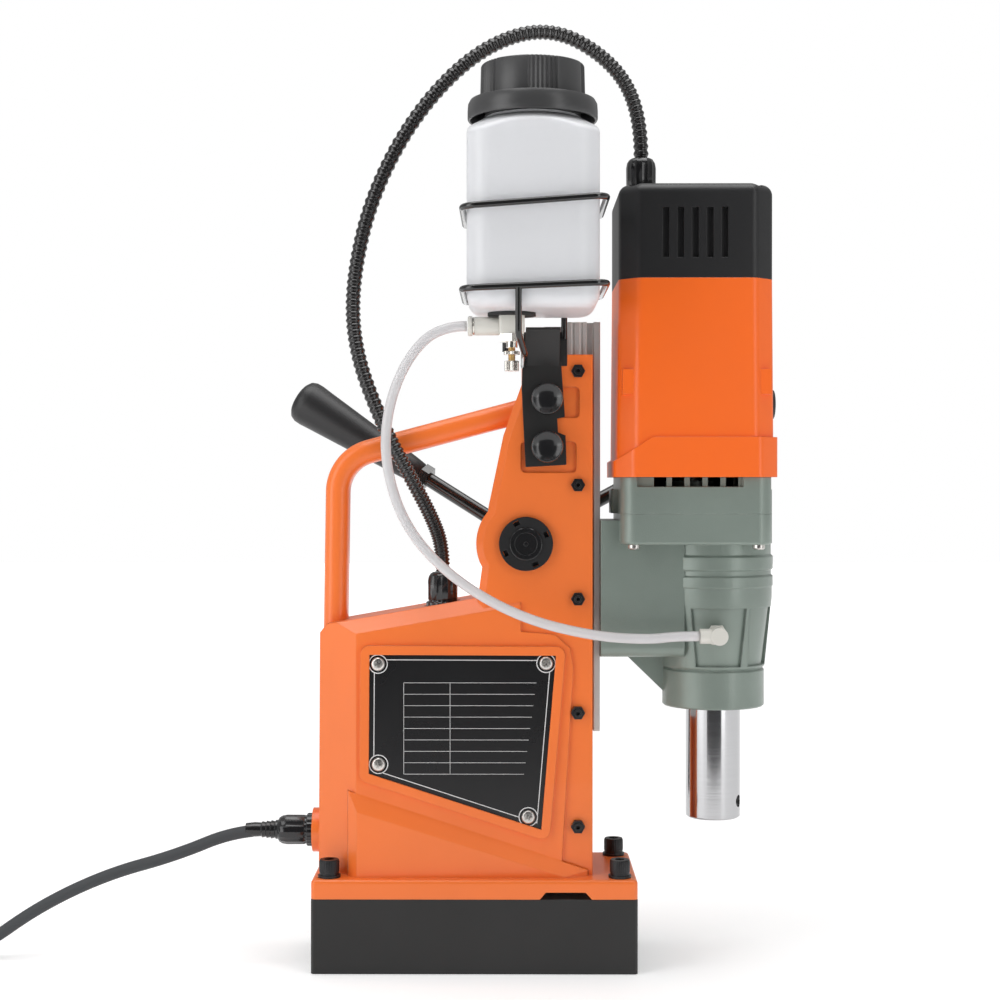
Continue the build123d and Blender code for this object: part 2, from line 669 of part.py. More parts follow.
with BuildPart() as gear_case:
    # lower half of the gearbox
    with BuildSketch(Plane.XY.offset(CASE_BOTTOM)):
        with Locations((CASE_MIDDLE, 0)):
            RectangleRounded(CASE_RIGHT - CASE_LEFT, 2 * CASE_HALF, 10)
    extrude(amount=CASE_SEAM - CASE_BOTTOM)
    fillet(gear_case.faces().sort_by(Axis.Z)[0].edges(), radius=2)
    with BuildSketch(Plane.XY.offset(CASE_BOTTOM)):
        with Locations((CASE_RIGHT - 2, 0)):
            RectangleRounded(13, 26, 2)
    extrude(amount=CASE_SEAM - CASE_BOTTOM)
    # spindle barrel with three rings, its taper and the bearing collar
    with BuildSketch(Plane.XZ):
        with BuildLine():
            Polyline(
                (SPINDLE_X, COLLAR_BOTTOM), (SPINDLE_X + COLLAR_R - 1, COLLAR_BOTTOM),
                (SPINDLE_X + COLLAR_R, COLLAR_BOTTOM + 1), (SPINDLE_X + COLLAR_R, 192),
                (SPINDLE_X + COLLAR_R - 1.2, 193.2), (SPINDLE_X + 34, 195),
                (SPINDLE_X + BARREL_R - 0.6, 240), (SPINDLE_X + BARREL_R - 0.6, 247),
                (SPINDLE_X + BARREL_R, 247.6), (SPINDLE_X + BARREL_R, 254),
                (SPINDLE_X + BARREL_R - 1.2, 255.2), (SPINDLE_X + BARREL_R - 1.2, 258),
                (SPINDLE_X + BARREL_R, 259), (SPINDLE_X + BARREL_R, 267),
                (SPINDLE_X + BARREL_R - 1.4, 268.4), (SPINDLE_X + BARREL_R - 1.4, 276.6),
                (SPINDLE_X, 276.6), close=True,
            )
        make_face()
    revolve(axis=Axis((SPINDLE_X, 0, 0), (0, 0, 1)))
    for turn in (0, 60, 120, 180):
        add(barrel_pocket.part.rotate(Axis((SPINDLE_X, 0, 0), (0, 0, 1)), turn),
            mode=Mode.SUBTRACT)
    # arm from the slide to the barrel, with a flange up the slide and a rib below
    with BuildSketch(Plane.XZ.offset(-32)):
        with BuildLine():
            Polyline((SLIDE_FACE, 202), (SPINDLE_X - 22, 202), (SPINDLE_X - 22, 276.6),
                     (CASE_LEFT + 1, 276.6), (CASE_LEFT + 1, 291), (SLIDE_FACE, 291), close=True)
        make_face()
    extrude(amount=64)
    arm_edges = gear_case.edges().filter_by(Axis.X).filter_by(
        lambda edge: abs(edge.center().Z - 202) < 0.5 and abs(abs(edge.center().Y) - 32) < 0.5
    )
    fillet(arm_edges, radius=7)
    with BuildSketch(Plane.XZ.offset(-4)):
        with BuildLine():
            Polyline((98, 203), (126, 203), (126, 176), close=True)
        make_face()
    extrude(amount=8)
    # room for the gears
    with BuildSketch(Plane.XY.offset(CASE_FLOOR)):
        with Locations((CASE_MIDDLE, 0)):
            RectangleRounded(CASE_RIGHT - CASE_LEFT - 2 * CASE_WALL, 2 * (CASE_HALF - CASE_WALL), 6)
        with Locations((CASE_MIDDLE, 0)):
            with GridLocations(*CORNER_SCREWS, 2, 2):
                Circle(6.5, mode=Mode.SUBTRACT)
    extrude(amount=CASE_SEAM - CASE_FLOOR, mode=Mode.SUBTRACT)
    # spindle bore: seal, lower bearing, spindle, upper bearing
    for low, high, radius in ((COLLAR_BOTTOM, 185, 27.5), (185, 250, 19.5), (250, CASE_FLOOR, 23.5)):
        with BuildSketch(Plane.XY.offset(low)):
            with Locations((SPINDLE_X, 0)):
                Circle(radius)
        extrude(amount=high - low, mode=Mode.SUBTRACT)
    # blind bores of the two gear shafts, screw holes and the coolant inlet
    with BuildSketch(Plane.XY.offset(CASE_FLOOR)):
        with Locations(SHAFT_1, SHAFT_2):
            Circle(4.05)
    extrude(amount=-3.4, mode=Mode.SUBTRACT)
    with BuildSketch(Plane.XY.offset(CASE_BOTTOM)):
        with Locations((CASE_MIDDLE, 0)):
            with GridLocations(*CORNER_SCREWS, 2, 2):
                Circle(2)
    extrude(amount=CASE_SEAM - CASE_BOTTOM, mode=Mode.SUBTRACT)
    with BuildSketch(front(19)):
        with Locations((SPINDLE_X - 2, 217.5)):
            Circle(4)
    extrude(amount=22, mode=Mode.SUBTRACT)

PARTITION = (305.6, 310.0)
with BuildPart() as gear_case_cover:
    with BuildSketch(Plane.XY.offset(CASE_SEAM)):
        with Locations((CASE_MIDDLE, 0)):
            RectangleRounded(CASE_RIGHT - CASE_LEFT, 2 * CASE_HALF, 10)
    extrude(amount=CASE_TOP - CASE_SEAM)
    with BuildSketch(Plane.XY.offset(CASE_SEAM)):
        with Locations((CASE_RIGHT - 2, 0), (CASE_LEFT + 2, 0)):
            RectangleRounded(13, 26, 2)
    extrude(amount=311 - CASE_SEAM)
    for low, high in ((CASE_SEAM, PARTITION[0]), (PARTITION[1], CASE_TOP)):
        with BuildSketch(Plane.XY.offset(low)):
            with Locations((CASE_MIDDLE, 0)):
                RectangleRounded(CASE_RIGHT - CASE_LEFT - 2 * CASE_WALL,
                                 2 * (CASE_HALF - CASE_WALL), 6)
                with GridLocations(*CORNER_SCREWS, 2, 2):
                    Circle(6.5, mode=Mode.SUBTRACT)
        extrude(amount=high - low, mode=Mode.SUBTRACT)
    with BuildSketch(Plane.XY.offset(PARTITION[0])):
        with Locations((MOTOR_X, 0)):
            Circle(16)
    extrude(amount=11.2)
    with BuildSketch(Plane.XY.offset(PARTITION[0])):
        with Locations(SHAFT_1, SHAFT_2):
            Circle(7)
    extrude(amount=6)
    with BuildSketch(Plane.XY.offset(PARTITION[0])):
        with Locations(SHAFT_1, SHAFT_2):
            Circle(2.85)
    extrude(amount=3.8, mode=Mode.SUBTRACT)
    with BuildSketch(Plane.XY.offset(PARTITION[0])):
        with Locations((MOTOR_X, 0)):
            Circle(8)
    extrude(amount=12, mode=Mode.SUBTRACT)
    with BuildSketch(Plane.XY.offset(PARTITION[0] + 1)):
        with Locations((MOTOR_X, 0)):
            Circle(13)
    extrude(amount=12, mode=Mode.SUBTRACT)
    # exhaust slots under the motor on both faces
    for side in (-1, 1):
        with BuildSketch(Plane.XY.offset(312.8)):
            with Locations((138, side * CASE_HALF)):
                Rectangle(68, 5)
        extrude(amount=10, mode=Mode.SUBTRACT)
        with BuildSketch(Plane.XY.offset(312.8)):
            with Locations(*[(142 + 11.5 * step, side * (CASE_HALF - 3)) for step in range(-2, 3)]):
                Rectangle(8, 12)
        extrude(amount=10, mode=Mode.SUBTRACT)
    with BuildSketch(Plane.XY.offset(CASE_SEAM)):
        with Locations((CASE_MIDDLE, 0)):
            with GridLocations(*CORNER_SCREWS, 2, 2):
                Circle(2)
    extrude(amount=8, mode=Mode.SUBTRACT)

with BuildPart() as gear_case_screws:
    with BuildSketch(Plane.XY.offset(CASE_BOTTOM)):
        with Locations((CASE_MIDDLE, 0)):
            with GridLocations(*CORNER_SCREWS, 2, 2):
                Circle(2)
    extrude(amount=CASE_SEAM + 7.5 - CASE_BOTTOM)
    with BuildSketch(Plane.XY.offset(CASE_BOTTOM - 3)):
        with Locations((CASE_MIDDLE, 0)):
            with GridLocations(*CORNER_SCREWS, 2, 2):
                Circle(4)
    extrude(amount=3)
    chamfer(gear_case_screws.edges().group_by(Axis.Z)[0], length=0.8)
    with BuildSketch(Plane.XY.offset(CASE_BOTTOM - 3)):
        with Locations((CASE_MIDDLE, 0)):
            with GridLocations(*CORNER_SCREWS, 2, 2):
                RegularPolygon(2, 6)
    extrude(amount=1.6, mode=Mode.SUBTRACT)


# ---------------------------------------------------------------- motor
def motor_section(height, half_x, half_y, corner=12.0):
    """Eight-sided section of the motor at this height, ready to loft or extrude."""
    with BuildSketch(Plane.XY.offset(height)) as section:
        with Locations((MOTOR_X, 0)):
            Rectangle(2 * half_x, 2 * half_y)
        chamfer(section.vertices(), length=corner)
    return section.sketch


with BuildPart() as motor_skirt:
    extrude(motor_section(CASE_TOP, MOTOR_HALF_X + 3.2, MOTOR_HALF_Y + 2), SKIRT_TOP - CASE_TOP)
    fillet(motor_skirt.edges().filter_by(Axis.Z), radius=6)
    with BuildSketch(Plane.XZ.offset(-60)):
        with BuildLine():
            Polyline((80, 327), (90, 329.5), (114, SKIRT_TOP), (114, SKIRT_TOP + 5),
                     (80, SKIRT_TOP + 5), close=True)
        make_face()
    extrude(amount=120, mode=Mode.SUBTRACT)

DIAL_Z = 367.0
with BuildPart() as motor_housing:
    loft([
        motor_section(CASE_TOP, MOTOR_HALF_X + 1, MOTOR_HALF_Y + 0.5),
        motor_section(HOUSING_TOP, MOTOR_HALF_X, MOTOR_HALF_Y),
    ])
    fillet(motor_housing.edges().filter_by(lambda edge: edge.length > 100), radius=7)
    add(motor_skirt.part)
    extrude(motor_section(CASE_TOP, MOTOR_HALF_X - 3.5, MOTOR_HALF_Y - 4, 9),
            HOUSING_TOP - CASE_TOP, mode=Mode.SUBTRACT)
    # ring that clamps the stator, and the hole of the speed dial
    with BuildSketch(Plane.XY.offset(372)):
        with Locations((MOTOR_X, 0)):
            Rectangle(2 * MOTOR_HALF_X - 4, 2 * MOTOR_HALF_Y - 4)
            Circle(42, mode=Mode.SUBTRACT)
    extrude(amount=16)
    with BuildSketch(Plane.YZ.offset(MOTOR_X + MOTOR_HALF_X - 8)):
        with Locations((-8, DIAL_Z)):
            Circle(3.05)
    extrude(amount=12, mode=Mode.SUBTRACT)

with BuildPart() as speed_dial:
    with BuildSketch(Plane.YZ.offset(MOTOR_X + MOTOR_HALF_X - 3)):
        with Locations((-8, DIAL_Z)):
            Circle(3)
    extrude(amount=5)
    with BuildSketch(Plane.YZ.offset(MOTOR_X + MOTOR_HALF_X + 1.2)):
        with Locations((-8, DIAL_Z)):
            Circle(10)
    extrude(amount=4.2)
    fillet(speed_dial.edges().group_by(Axis.X)[-1], radius=1.8)

CAP_SCREWS = (74, 78)
TOP_BEARING = (455.0, 463.0)
with BuildPart() as motor_cap:
    extrude(motor_section(HOUSING_TOP, MOTOR_HALF_X, MOTOR_HALF_Y), CAP_TOP - HOUSING_TOP)
    fillet(motor_cap.edges().filter_by(Axis.Z), radius=7)
    fillet(motor_cap.faces().sort_by(Axis.Z)[-1].edges(), radius=7)
    extrude(motor_section(HOUSING_TOP, MOTOR_HALF_X - 3.5, MOTOR_HALF_Y - 4, 9),
            CAP_TOP - HOUSING_TOP - 4, mode=Mode.SUBTRACT)
    # corner posts carry the screws in their recesses
    with BuildSketch(Plane.XY.offset(HOUSING_TOP)):
        with Locations((MOTOR_X, 0)):
            with GridLocations(*CAP_SCREWS, 2, 2):
                Circle(7.5)
    extrude(amount=47)
    with BuildSketch(Plane.XY.offset(493)):
        with Locations((MOTOR_X, 0)):
            with GridLocations(*CAP_SCREWS, 2, 2):
                Circle(6)
    extrude(amount=20, mode=Mode.SUBTRACT)
    with BuildSketch(Plane.XY.offset(HOUSING_TOP)):
        with Locations((MOTOR_X, 0)):
            with GridLocations(*CAP_SCREWS, 2, 2):
                Circle(2)
    extrude(amount=50, mode=Mode.SUBTRACT)
    with BuildSketch(Plane.XY.offset(TOP_BEARING[0])):
        with Locations((MOTOR_X, 0)):
            Circle(17)
            Circle(13, mode=Mode.SUBTRACT)
    extrude(amount=CAP_TOP - 3 - TOP_BEARING[0])
    # cooling slots on both faces
    with BuildSketch(Plane.XZ.offset(-60)):
        with Locations(*[(141 + 9.4 * step, 475) for step in range(-2, 3)]):
            Rectangle(4, 32)
    extrude(amount=13.5, mode=Mode.SUBTRACT)
    with BuildSketch(Plane.XZ.offset(60)):
        with Locations(*[(141 + 9.4 * step, 475) for step in range(-2, 3)]):
            Rectangle(4, 32)
    extrude(amount=-13.5, mode=Mode.SUBTRACT)
    with BuildSketch(Plane.XY.offset(CAP_TOP - 10)):
        with Locations((110, 0)):
            Circle(8)
    extrude(amount=12, mode=Mode.SUBTRACT)

with BuildPart() as motor_cap_screws:
    with BuildSketch(Plane.XY.offset(HOUSING_TOP - 10)):
        with Locations((MOTOR_X, 0)):
            with GridLocations(*CAP_SCREWS, 2, 2):
                Circle(2)
    extrude(amount=57)
    with BuildSketch(Plane.XY.offset(493)):
        with Locations((MOTOR_X, 0)):
            with GridLocations(*CAP_SCREWS, 2, 2):
                Circle(4)
    extrude(amount=2.6)
    fillet(motor_cap_screws.edges().group_by(Axis.Z)[-1], radius=1.4)

with BuildPart() as motor_stator:
    with BuildSketch(Plane.XY.offset(350)):
        with Locations((MOTOR_X, 0)):
            Circle(42)
            Circle(26.6, mode=Mode.SUBTRACT)
            with PolarLocations(33, 2):
                RectangleRounded(7, 34, 3, mode=Mode.SUBTRACT)
    extrude(amount=60)

with BuildPart() as brush_holders:
    for side in (-1, 1):
        with BuildSketch(Plane.XZ.offset(-side * 16.4)):
            with Locations((MOTOR_X, 428)):
                Rectangle(10, 12)
        extrude(amount=-side * (MOTOR_HALF_Y - 4 - 16.4))

with BuildPart() as motor_bearings:
    with BuildSketch(Plane.XY.offset(PARTITION[0] + 1)):
        with Locations((MOTOR_X, 0)):
            Circle(13)
            Circle(6.05, mode=Mode.SUBTRACT)
    extrude(amount=10)
    with BuildSketch(Plane.XY.offset(TOP_BEARING[0])):
        with Locations((MOTOR_X, 0)):
            Circle(13)
            Circle(5.05, mode=Mode.SUBTRACT)
    extrude(amount=TOP_BEARING[1] - TOP_BEARING[0])

FIRST_MESH = bearing_degrees((MOTOR_X, 0), SHAFT_1)
SECOND_MESH = bearing_degrees(SHAFT_1, SHAFT_2)
THIRD_MESH = bearing_degrees(SHAFT_2, (SPINDLE_X, 0))
SECOND_GAP = SECOND_MESH + 180 + 180 / SECOND_TEETH
SPINDLE_GAP = THIRD_MESH + 180 + 180 / SPINDLE_TEETH
FIRST_GAP = FIRST_MESH + 180 + 180 / FIRST_TEETH


def gear_face(spot, layer, teeth, module, start_angle, bore=0.0):
    """Sketch of one spur gear on its layer, one tooth pointing at start_angle."""
    with BuildSketch(Plane.XY.offset(layer[0])) as face:
        with Locations(spot):
            Circle(module * teeth / 2 - 1.25 * module)
            with PolarLocations(0, teeth, start_angle=start_angle):
                Polygon(*tooth(teeth, module), align=None)
            if bore:
                Circle(bore, mode=Mode.SUBTRACT)
    return face.sketch


with BuildPart() as armature:
    with BuildSketch(Plane.XY.offset(PARTITION[0] - 0.4)):
        with Locations((MOTOR_X, 0)):
            Circle(6)
    extrude(amount=TOP_BEARING[0] - 1 - PARTITION[0] + 0.4)
    with BuildSketch(Plane.XY.offset(TOP_BEARING[0] - 1)):
        with Locations((MOTOR_X, 0)):
            Circle(5)
    extrude(amount=10)
    with BuildSketch(Plane.XY.offset(350)):
        with Locations((MOTOR_X, 0)):
            Circle(25.9)
            with PolarLocations(25.5, 12):
                Rectangle(6, 2.4, mode=Mode.SUBTRACT)
    extrude(amount=60)
    extrude(gear_face((MOTOR_X, 0), LAYER_1, PINION_TEETH, GEAR_MODULE, FIRST_MESH),
            PARTITION[0] - 0.4 - LAYER_1[0])

with BuildPart() as commutator:
    with BuildSketch(Plane.XY.offset(418)):
        with Locations((MOTOR_X, 0)):
            Circle(16)
            Circle(6, mode=Mode.SUBTRACT)
            with PolarLocations(16, 24):
                Rectangle(2, 0.6, mode=Mode.SUBTRACT)
    extrude(amount=20)

with BuildPart() as cooling_fan:
    with BuildSketch(Plane.XY.offset(321)):
        with Locations((MOTOR_X, 0)):
            Circle(39)
            Circle(6, mode=Mode.SUBTRACT)
    extrude(amount=1.6)
    with BuildSketch(Plane.XY.offset(322.6)):
        with Locations((MOTOR_X, 0)):
            Circle(10)
            Circle(6, mode=Mode.SUBTRACT)
            with PolarLocations(26, 14):
                Rectangle(24, 1.6, rotation=25)
    extrude(amount=8)

with BuildPart() as gear_shaft_1:
    extrude(gear_face(SHAFT_1, LAYER_1, FIRST_TEETH, GEAR_MODULE, FIRST_GAP),
            LAYER_1[1] - LAYER_1[0])
    extrude(gear_face(SHAFT_1, LAYER_2, PINION_TEETH, GEAR_MODULE, SECOND_MESH),
            LAYER_1[0] - LAYER_2[0])
    for low, high, radius in ((CASE_FLOOR - 3.2, LAYER_2[0], 4), (LAYER_1[1], 309.2, 2.8)):
        with BuildSketch(Plane.XY.offset(low)):
            with Locations(SHAFT_1):
                Circle(radius)
        extrude(amount=high - low)

with BuildPart() as gear_shaft_2:
    extrude(gear_face(SHAFT_2, LAYER_2, SECOND_TEETH, GEAR_MODULE, SECOND_GAP),
            LAYER_2[1] - LAYER_2[0])
    extrude(gear_face(SHAFT_2, LAYER_3, PINION_TEETH, SPINDLE_MODULE, THIRD_MESH),
            LAYER_2[0] - LAYER_3[0])
    for low, high, radius in ((CASE_FLOOR - 3.2, LAYER_3[0], 4), (LAYER_2[1], 309.2, 2.8)):
        with BuildSketch(Plane.XY.offset(low)):
            with Locations(SHAFT_2):
                Circle(radius)
        extrude(amount=high - low)

# ---------------------------------------------------------------- spindle
SPINDLE_STEPS = (
    (SPINDLE_BOTTOM, 171.8, SPINDLE_R), (171.8, 186.0, 14.95), (186.0, 249.8, 13.0),
    (249.8, 266.0, 9.95), (266.0, LAYER_3[1], 9.0),
)
SET_SCREW_ANGLES = (-26.0, 64.0)
SET_SCREW_Z = 105.0

with BuildPart() as spindle:
    for low, high, radius in SPINDLE_STEPS:
        with BuildSketch(Plane.XY.offset(low)):
            with Locations((SPINDLE_X, 0)):
                Circle(radius)
        extrude(amount=high - low)
    chamfer(spindle.edges().group_by(Axis.Z)[0], length=1)
    with BuildSketch(Plane.XY.offset(SPINDLE_BOTTOM)):
        with Locations((SPINDLE_X, 0)):
            Circle(ARBOR_BORE_R)
    extrude(amount=ARBOR_BORE_DEPTH, mode=Mode.SUBTRACT)
    for angle in SET_SCREW_ANGLES:
        out = Vector(math.cos(math.radians(angle)), math.sin(math.radians(angle)), 0)
        with BuildSketch(Plane(origin=Vector(SPINDLE_X, 0, SET_SCREW_Z), z_dir=out)):
            Circle(4)
        extrude(amount=SPINDLE_R + 2, mode=Mode.SUBTRACT)

with BuildPart() as arbor_set_screws:
    for angle in SET_SCREW_ANGLES:
        out = Vector(math.cos(math.radians(angle)), math.sin(math.radians(angle)), 0)
        with BuildSketch(Plane(origin=Vector(SPINDLE_X, 0, SET_SCREW_Z) + out * 10.4, z_dir=out)):
            Circle(4)
        extrude(amount=6)
        with BuildSketch(Plane(origin=Vector(SPINDLE_X, 0, SET_SCREW_Z) + out * 16.4, z_dir=out)):
            RegularPolygon(2.3, 6)
        extrude(amount=-3.5, mode=Mode.SUBTRACT)

with BuildPart() as spindle_gear:
    extrude(gear_face((SPINDLE_X, 0), LAYER_3, SPINDLE_TEETH, SPINDLE_MODULE, SPINDLE_GAP, 9),
            LAYER_3[1] - LAYER_3[0])

with BuildPart() as spindle_bearings:
    for low, width, outer, bore in ((168.6, 2.8, 27.5, 18.4), (172, 13, 27.5, 15), (250, 14, 23.5, 10)):
        with BuildSketch(Plane.XY.offset(low)):
            with Locations((SPINDLE_X, 0)):
                Circle(outer)
                Circle(bore, mode=Mode.SUBTRACT)
        extrude(amount=width)

# ---------------------------------------------------------------- glands and hose fittings
def gland(plane, thread, thread_r):
    """Cable gland standing on a plane: thread below it, hexagonal base and domed nut."""
    with BuildPart() as piece:
        with BuildSketch(plane):
            Circle(thread_r)
        extrude(amount=-thread)
        with BuildSketch(plane):
            RegularPolygon(11.2, 6)
        extrude(amount=5)
        with BuildSketch(plane.offset(5)):
            Circle(9.8)
            with PolarLocations(9.8, 12):
                Rectangle(1.4, 2.4, mode=Mode.SUBTRACT)
        extrude(amount=15)
        with BuildSketch(plane.offset(20)):
            Circle(9.2)
        with BuildSketch(plane.offset(24)):
            Circle(7)
        loft()
    return piece


motor_conduit_gland = gland(Plane(origin=(110, 0, CAP_TOP)), 8, 8)
frame_conduit_gland = gland(Plane(origin=(-21.5, -10, 233)), 8, 8)
cord_gland = gland(Plane(origin=(-108, 0, CORD_Z), z_dir=(-1, 0, 0)), 8, 8)

with BuildPart() as spindle_hose_fitting:
    with BuildSketch(front(20)):
        with Locations((SPINDLE_X - 2, 217.5)):
            Circle(4)
    extrude(amount=18)
    with BuildSketch(front(38)):
        with Locations((SPINDLE_X - 2, 217.5)):
            RegularPolygon(7, 6)
    extrude(amount=5)
    with BuildSketch(front(43)):
        with Locations((SPINDLE_X - 2, 217.5)):
            Circle(5.6)
    extrude(amount=12)
    with BuildSketch(Plane(origin=(SPINDLE_X - 2, -50, 217.5), z_dir=(-1, 0, 0))):
        Circle(4.8)
    extrude(amount=12)

# ---------------------------------------------------------------- coolant bottle and its bracket
def bottle_form(shrink, bottom, top):
    """Square bottle with broad soft edges, smaller than the outside by shrink all round."""
    side = BOTTLE_SIDE - 2 * shrink
    edge = SHOULDER_EDGE - 1.16 * shrink
    flat_r = BOTTLE_SIDE / 2 - (top - edge) / SHOULDER_SLOPE
    with BuildPart() as form:
        with BuildSketch(Plane.XY.offset(bottom)):
            with Locations((BOTTLE_X, BOTTLE_Y)):
                RectangleRounded(side, side, 15 - shrink)
        extrude(amount=top - bottom)
        fillet(form.faces().sort_by(Axis.Z)[0].edges(), radius=9 - shrink)
        # the shoulder is a shallow cone that cuts the square body
        with BuildSketch(Plane(origin=(BOTTLE_X, BOTTLE_Y, 0), x_dir=(1, 0, 0), z_dir=(0, -1, 0))):
            Polygon((0, bottom - 1), (70, bottom - 1),
                    (70, edge + SHOULDER_SLOPE * (BOTTLE_SIDE / 2 - 70)), (flat_r, top), (0, top),
                    align=None)
        revolve(axis=Axis((BOTTLE_X, BOTTLE_Y, 0), (0, 0, 1)), mode=Mode.INTERSECT)
        rim = form.edges().filter_by(lambda one: SHOULDER_EDGE - 12 < one.center().Z < top - 1)
        fillet(rim.filter_by(lambda one: abs(one.tangent_at(0.5).Z) < 0.7), radius=4 - shrink)
    return form


bottle_outside = bottle_form(0, BOTTLE_BOTTOM, BOTTLE_SHOULDER)
bottle_inside = bottle_form(1.8, BOTTLE_BOTTOM + 1.8, BOTTLE_SHOULDER - 1.8)
with BuildPart() as coolant_bottle:
    add(bottle_outside.part)
    with BuildSketch(Plane.XY.offset(BOTTLE_SHOULDER - 3)):
        with Locations((BOTTLE_X, BOTTLE_Y)):
            Circle(NECK_R)
    extrude(amount=NECK_TOP - BOTTLE_SHOULDER + 3)
    add(bottle_inside.part, mode=Mode.SUBTRACT)
    with BuildSketch(Plane.XY.offset(BOTTLE_SHOULDER - 5)):
        with Locations((BOTTLE_X, BOTTLE_Y)):
            Circle(NECK_R - 2)
    extrude(amount=NECK_TOP - BOTTLE_SHOULDER + 6, mode=Mode.SUBTRACT)
    with BuildSketch(Plane.XY.offset(BOTTLE_BOTTOM - 1)):
        with Locations((VALVE_X, BOTTLE_Y)):
            Circle(5)
    extrude(amount=4, mode=Mode.SUBTRACT)

with BuildPart() as bottle_cap:
    with BuildSketch(Plane.XY.offset(BOTTLE_SHOULDER + 0.4)):
        with Locations((BOTTLE_X, BOTTLE_Y)):
            Circle(CAP_RING_R)
    extrude(amount=CAP_RING_TOP - BOTTLE_SHOULDER - 0.4)
    with BuildSketch(Plane.XY.offset(CAP_RING_TOP)):
        with Locations((BOTTLE_X, BOTTLE_Y)):
            Circle(CAP_BODY_R)
            with PolarLocations(CAP_BODY_R, 32):
                Rectangle(1.6, 2.6, mode=Mode.SUBTRACT)
    extrude(amount=CAP_HEIGHT - CAP_RING_TOP - 2)
    with BuildSketch(Plane.XY.offset(CAP_HEIGHT - 2)):
        with Locations((BOTTLE_X, BOTTLE_Y)):
            Circle(CAP_BODY_R - 0.8)
    extrude(amount=2)
    with BuildSketch(Plane.XY.offset(BOTTLE_SHOULDER)):
        with Locations((BOTTLE_X, BOTTLE_Y)):
            Circle(NECK_R + 0.3)
    extrude(amount=NECK_TOP + 1 - BOTTLE_SHOULDER, mode=Mode.SUBTRACT)

GASKET_BOTTOM = BOTTLE_BOTTOM - 2
with BuildPart() as bottle_gasket:
    with BuildSketch(Plane.XY.offset(GASKET_BOTTOM)):
        with Locations((VALVE_X, BOTTLE_Y)):
            Circle(15)
            Circle(5, mode=Mode.SUBTRACT)
    extrude(amount=2)

FITTING_Z = 412.8
with BuildPart() as valve_body:
    with BuildSketch(Plane.XY.offset(408)):
        with Locations((VALVE_X, BOTTLE_Y)):
            RegularPolygon(9.5, 6)
    extrude(amount=GASKET_BOTTOM - 408)
    with BuildSketch(Plane.XY.offset(GASKET_BOTTOM)):
        with Locations((VALVE_X, BOTTLE_Y)):
            Circle(5)
    extrude(amount=8)
    with BuildSketch(Plane.XY.offset(403)):
        with Locations((VALVE_X, BOTTLE_Y)):
            RegularPolygon(8.6, 6)
    extrude(amount=5)
    with BuildSketch(Plane.XY.offset(399)):
        with Locations((VALVE_X, BOTTLE_Y)):
            Circle(3.6)
    extrude(amount=4)
    with BuildSketch(Plane.XY.offset(399)):
        with Locations((VALVE_X, BOTTLE_Y)):
            Circle(2.05)
    extrude(amount=9, mode=Mode.SUBTRACT)
    with BuildSketch(Plane(origin=(VALVE_X, BOTTLE_Y, FITTING_Z), z_dir=(-1, 0, 0))):
        Circle(3.9)
    extrude(amount=11)

with BuildPart() as bottle_hose_fitting:
    with BuildSketch(Plane(origin=(VALVE_X - 11, BOTTLE_Y, FITTING_Z), z_dir=(-1, 0, 0))):
        Circle(5.8)
    extrude(amount=13)
    with BuildSketch(Plane(origin=(VALVE_X - 24, BOTTLE_Y, FITTING_Z), z_dir=(-1, 0, 0))):
        Circle(6.1)
    extrude(amount=4)
    fillet(bottle_hose_fitting.edges().group_by(Axis.X)[0], radius=1)

with BuildPart() as valve_knob:
    for low, high, radius in ((391, 406, 2), (395, 397.4, 5), (385, 391, 4.4)):
        with BuildSketch(Plane.XY.offset(low)):
            with Locations((VALVE_X, BOTTLE_Y)):
                Circle(radius)
        extrude(amount=high - low)

RING_HALF = 43.6
RING_X = 37.7
UPPER_RING_Z = 484.0
LOWER_RING_Z = 433.5
RING_BACK = -32.2
RING_Y = RING_BACK - RING_HALF
CRADLE_WIRES = [
    [(20, RING_BACK, UPPER_RING_Z - 1), (20, RING_BACK, 400)],
    [(58, RING_BACK, UPPER_RING_Z + 1), (58, RING_BACK, 408)],
    [(28, RING_Y - RING_HALF, LOWER_RING_Z), (28, -111, 405), (31.8, -98, 394),
     (31.8, -60, 391), (31.8, RING_BACK, 391)],
]


def wire(points, radius):
    """Round wire along straight runs with this bend radius."""
    with BuildLine() as path:
        if len(points) == 2:
            Line(*points)
        else:
            FilletPolyline(*points, radius=radius)
    with BuildPart() as piece:
        with BuildSketch(Plane(origin=path.line @ 0, z_dir=path.line % 0)):
            Circle(WIRE_R)
        sweep(path=path.line)
    return piece.part


def wire_ring(height, tilt):
    """Square ring of round wire, leaning about the Y axis by tilt degrees."""
    lean = math.radians(tilt)
    across, up = (math.cos(lean), 0, math.sin(lean)), (-math.sin(lean), 0, math.cos(lean))
    with BuildLine(Plane(origin=(RING_X, RING_Y, height), x_dir=across, z_dir=up)) as ring:
        FilletPolyline((-RING_HALF, -RING_HALF), (RING_HALF, -RING_HALF),
                       (RING_HALF, RING_HALF), (-RING_HALF, RING_HALF), radius=9, close=True)
    with BuildPart() as piece:
        with BuildSketch(Plane(origin=ring.line @ 0, z_dir=ring.line % 0)):
            Circle(WIRE_R)
        sweep(path=ring.line)
    return piece.part


cradle_parts = [wire_ring(UPPER_RING_Z, 4.2), wire_ring(LOWER_RING_Z, 2.3)]
cradle_parts += [wire(points, 7) for points in CRADLE_WIRES]
with BuildPart() as bottle_cradle:
    for piece in cradle_parts:
        add(piece)
print("bottle cradle solids:", len(bottle_cradle.solids()),
      "volume", round(bottle_cradle.part.volume), "of", round(sum(p.volume for p in cradle_parts)))

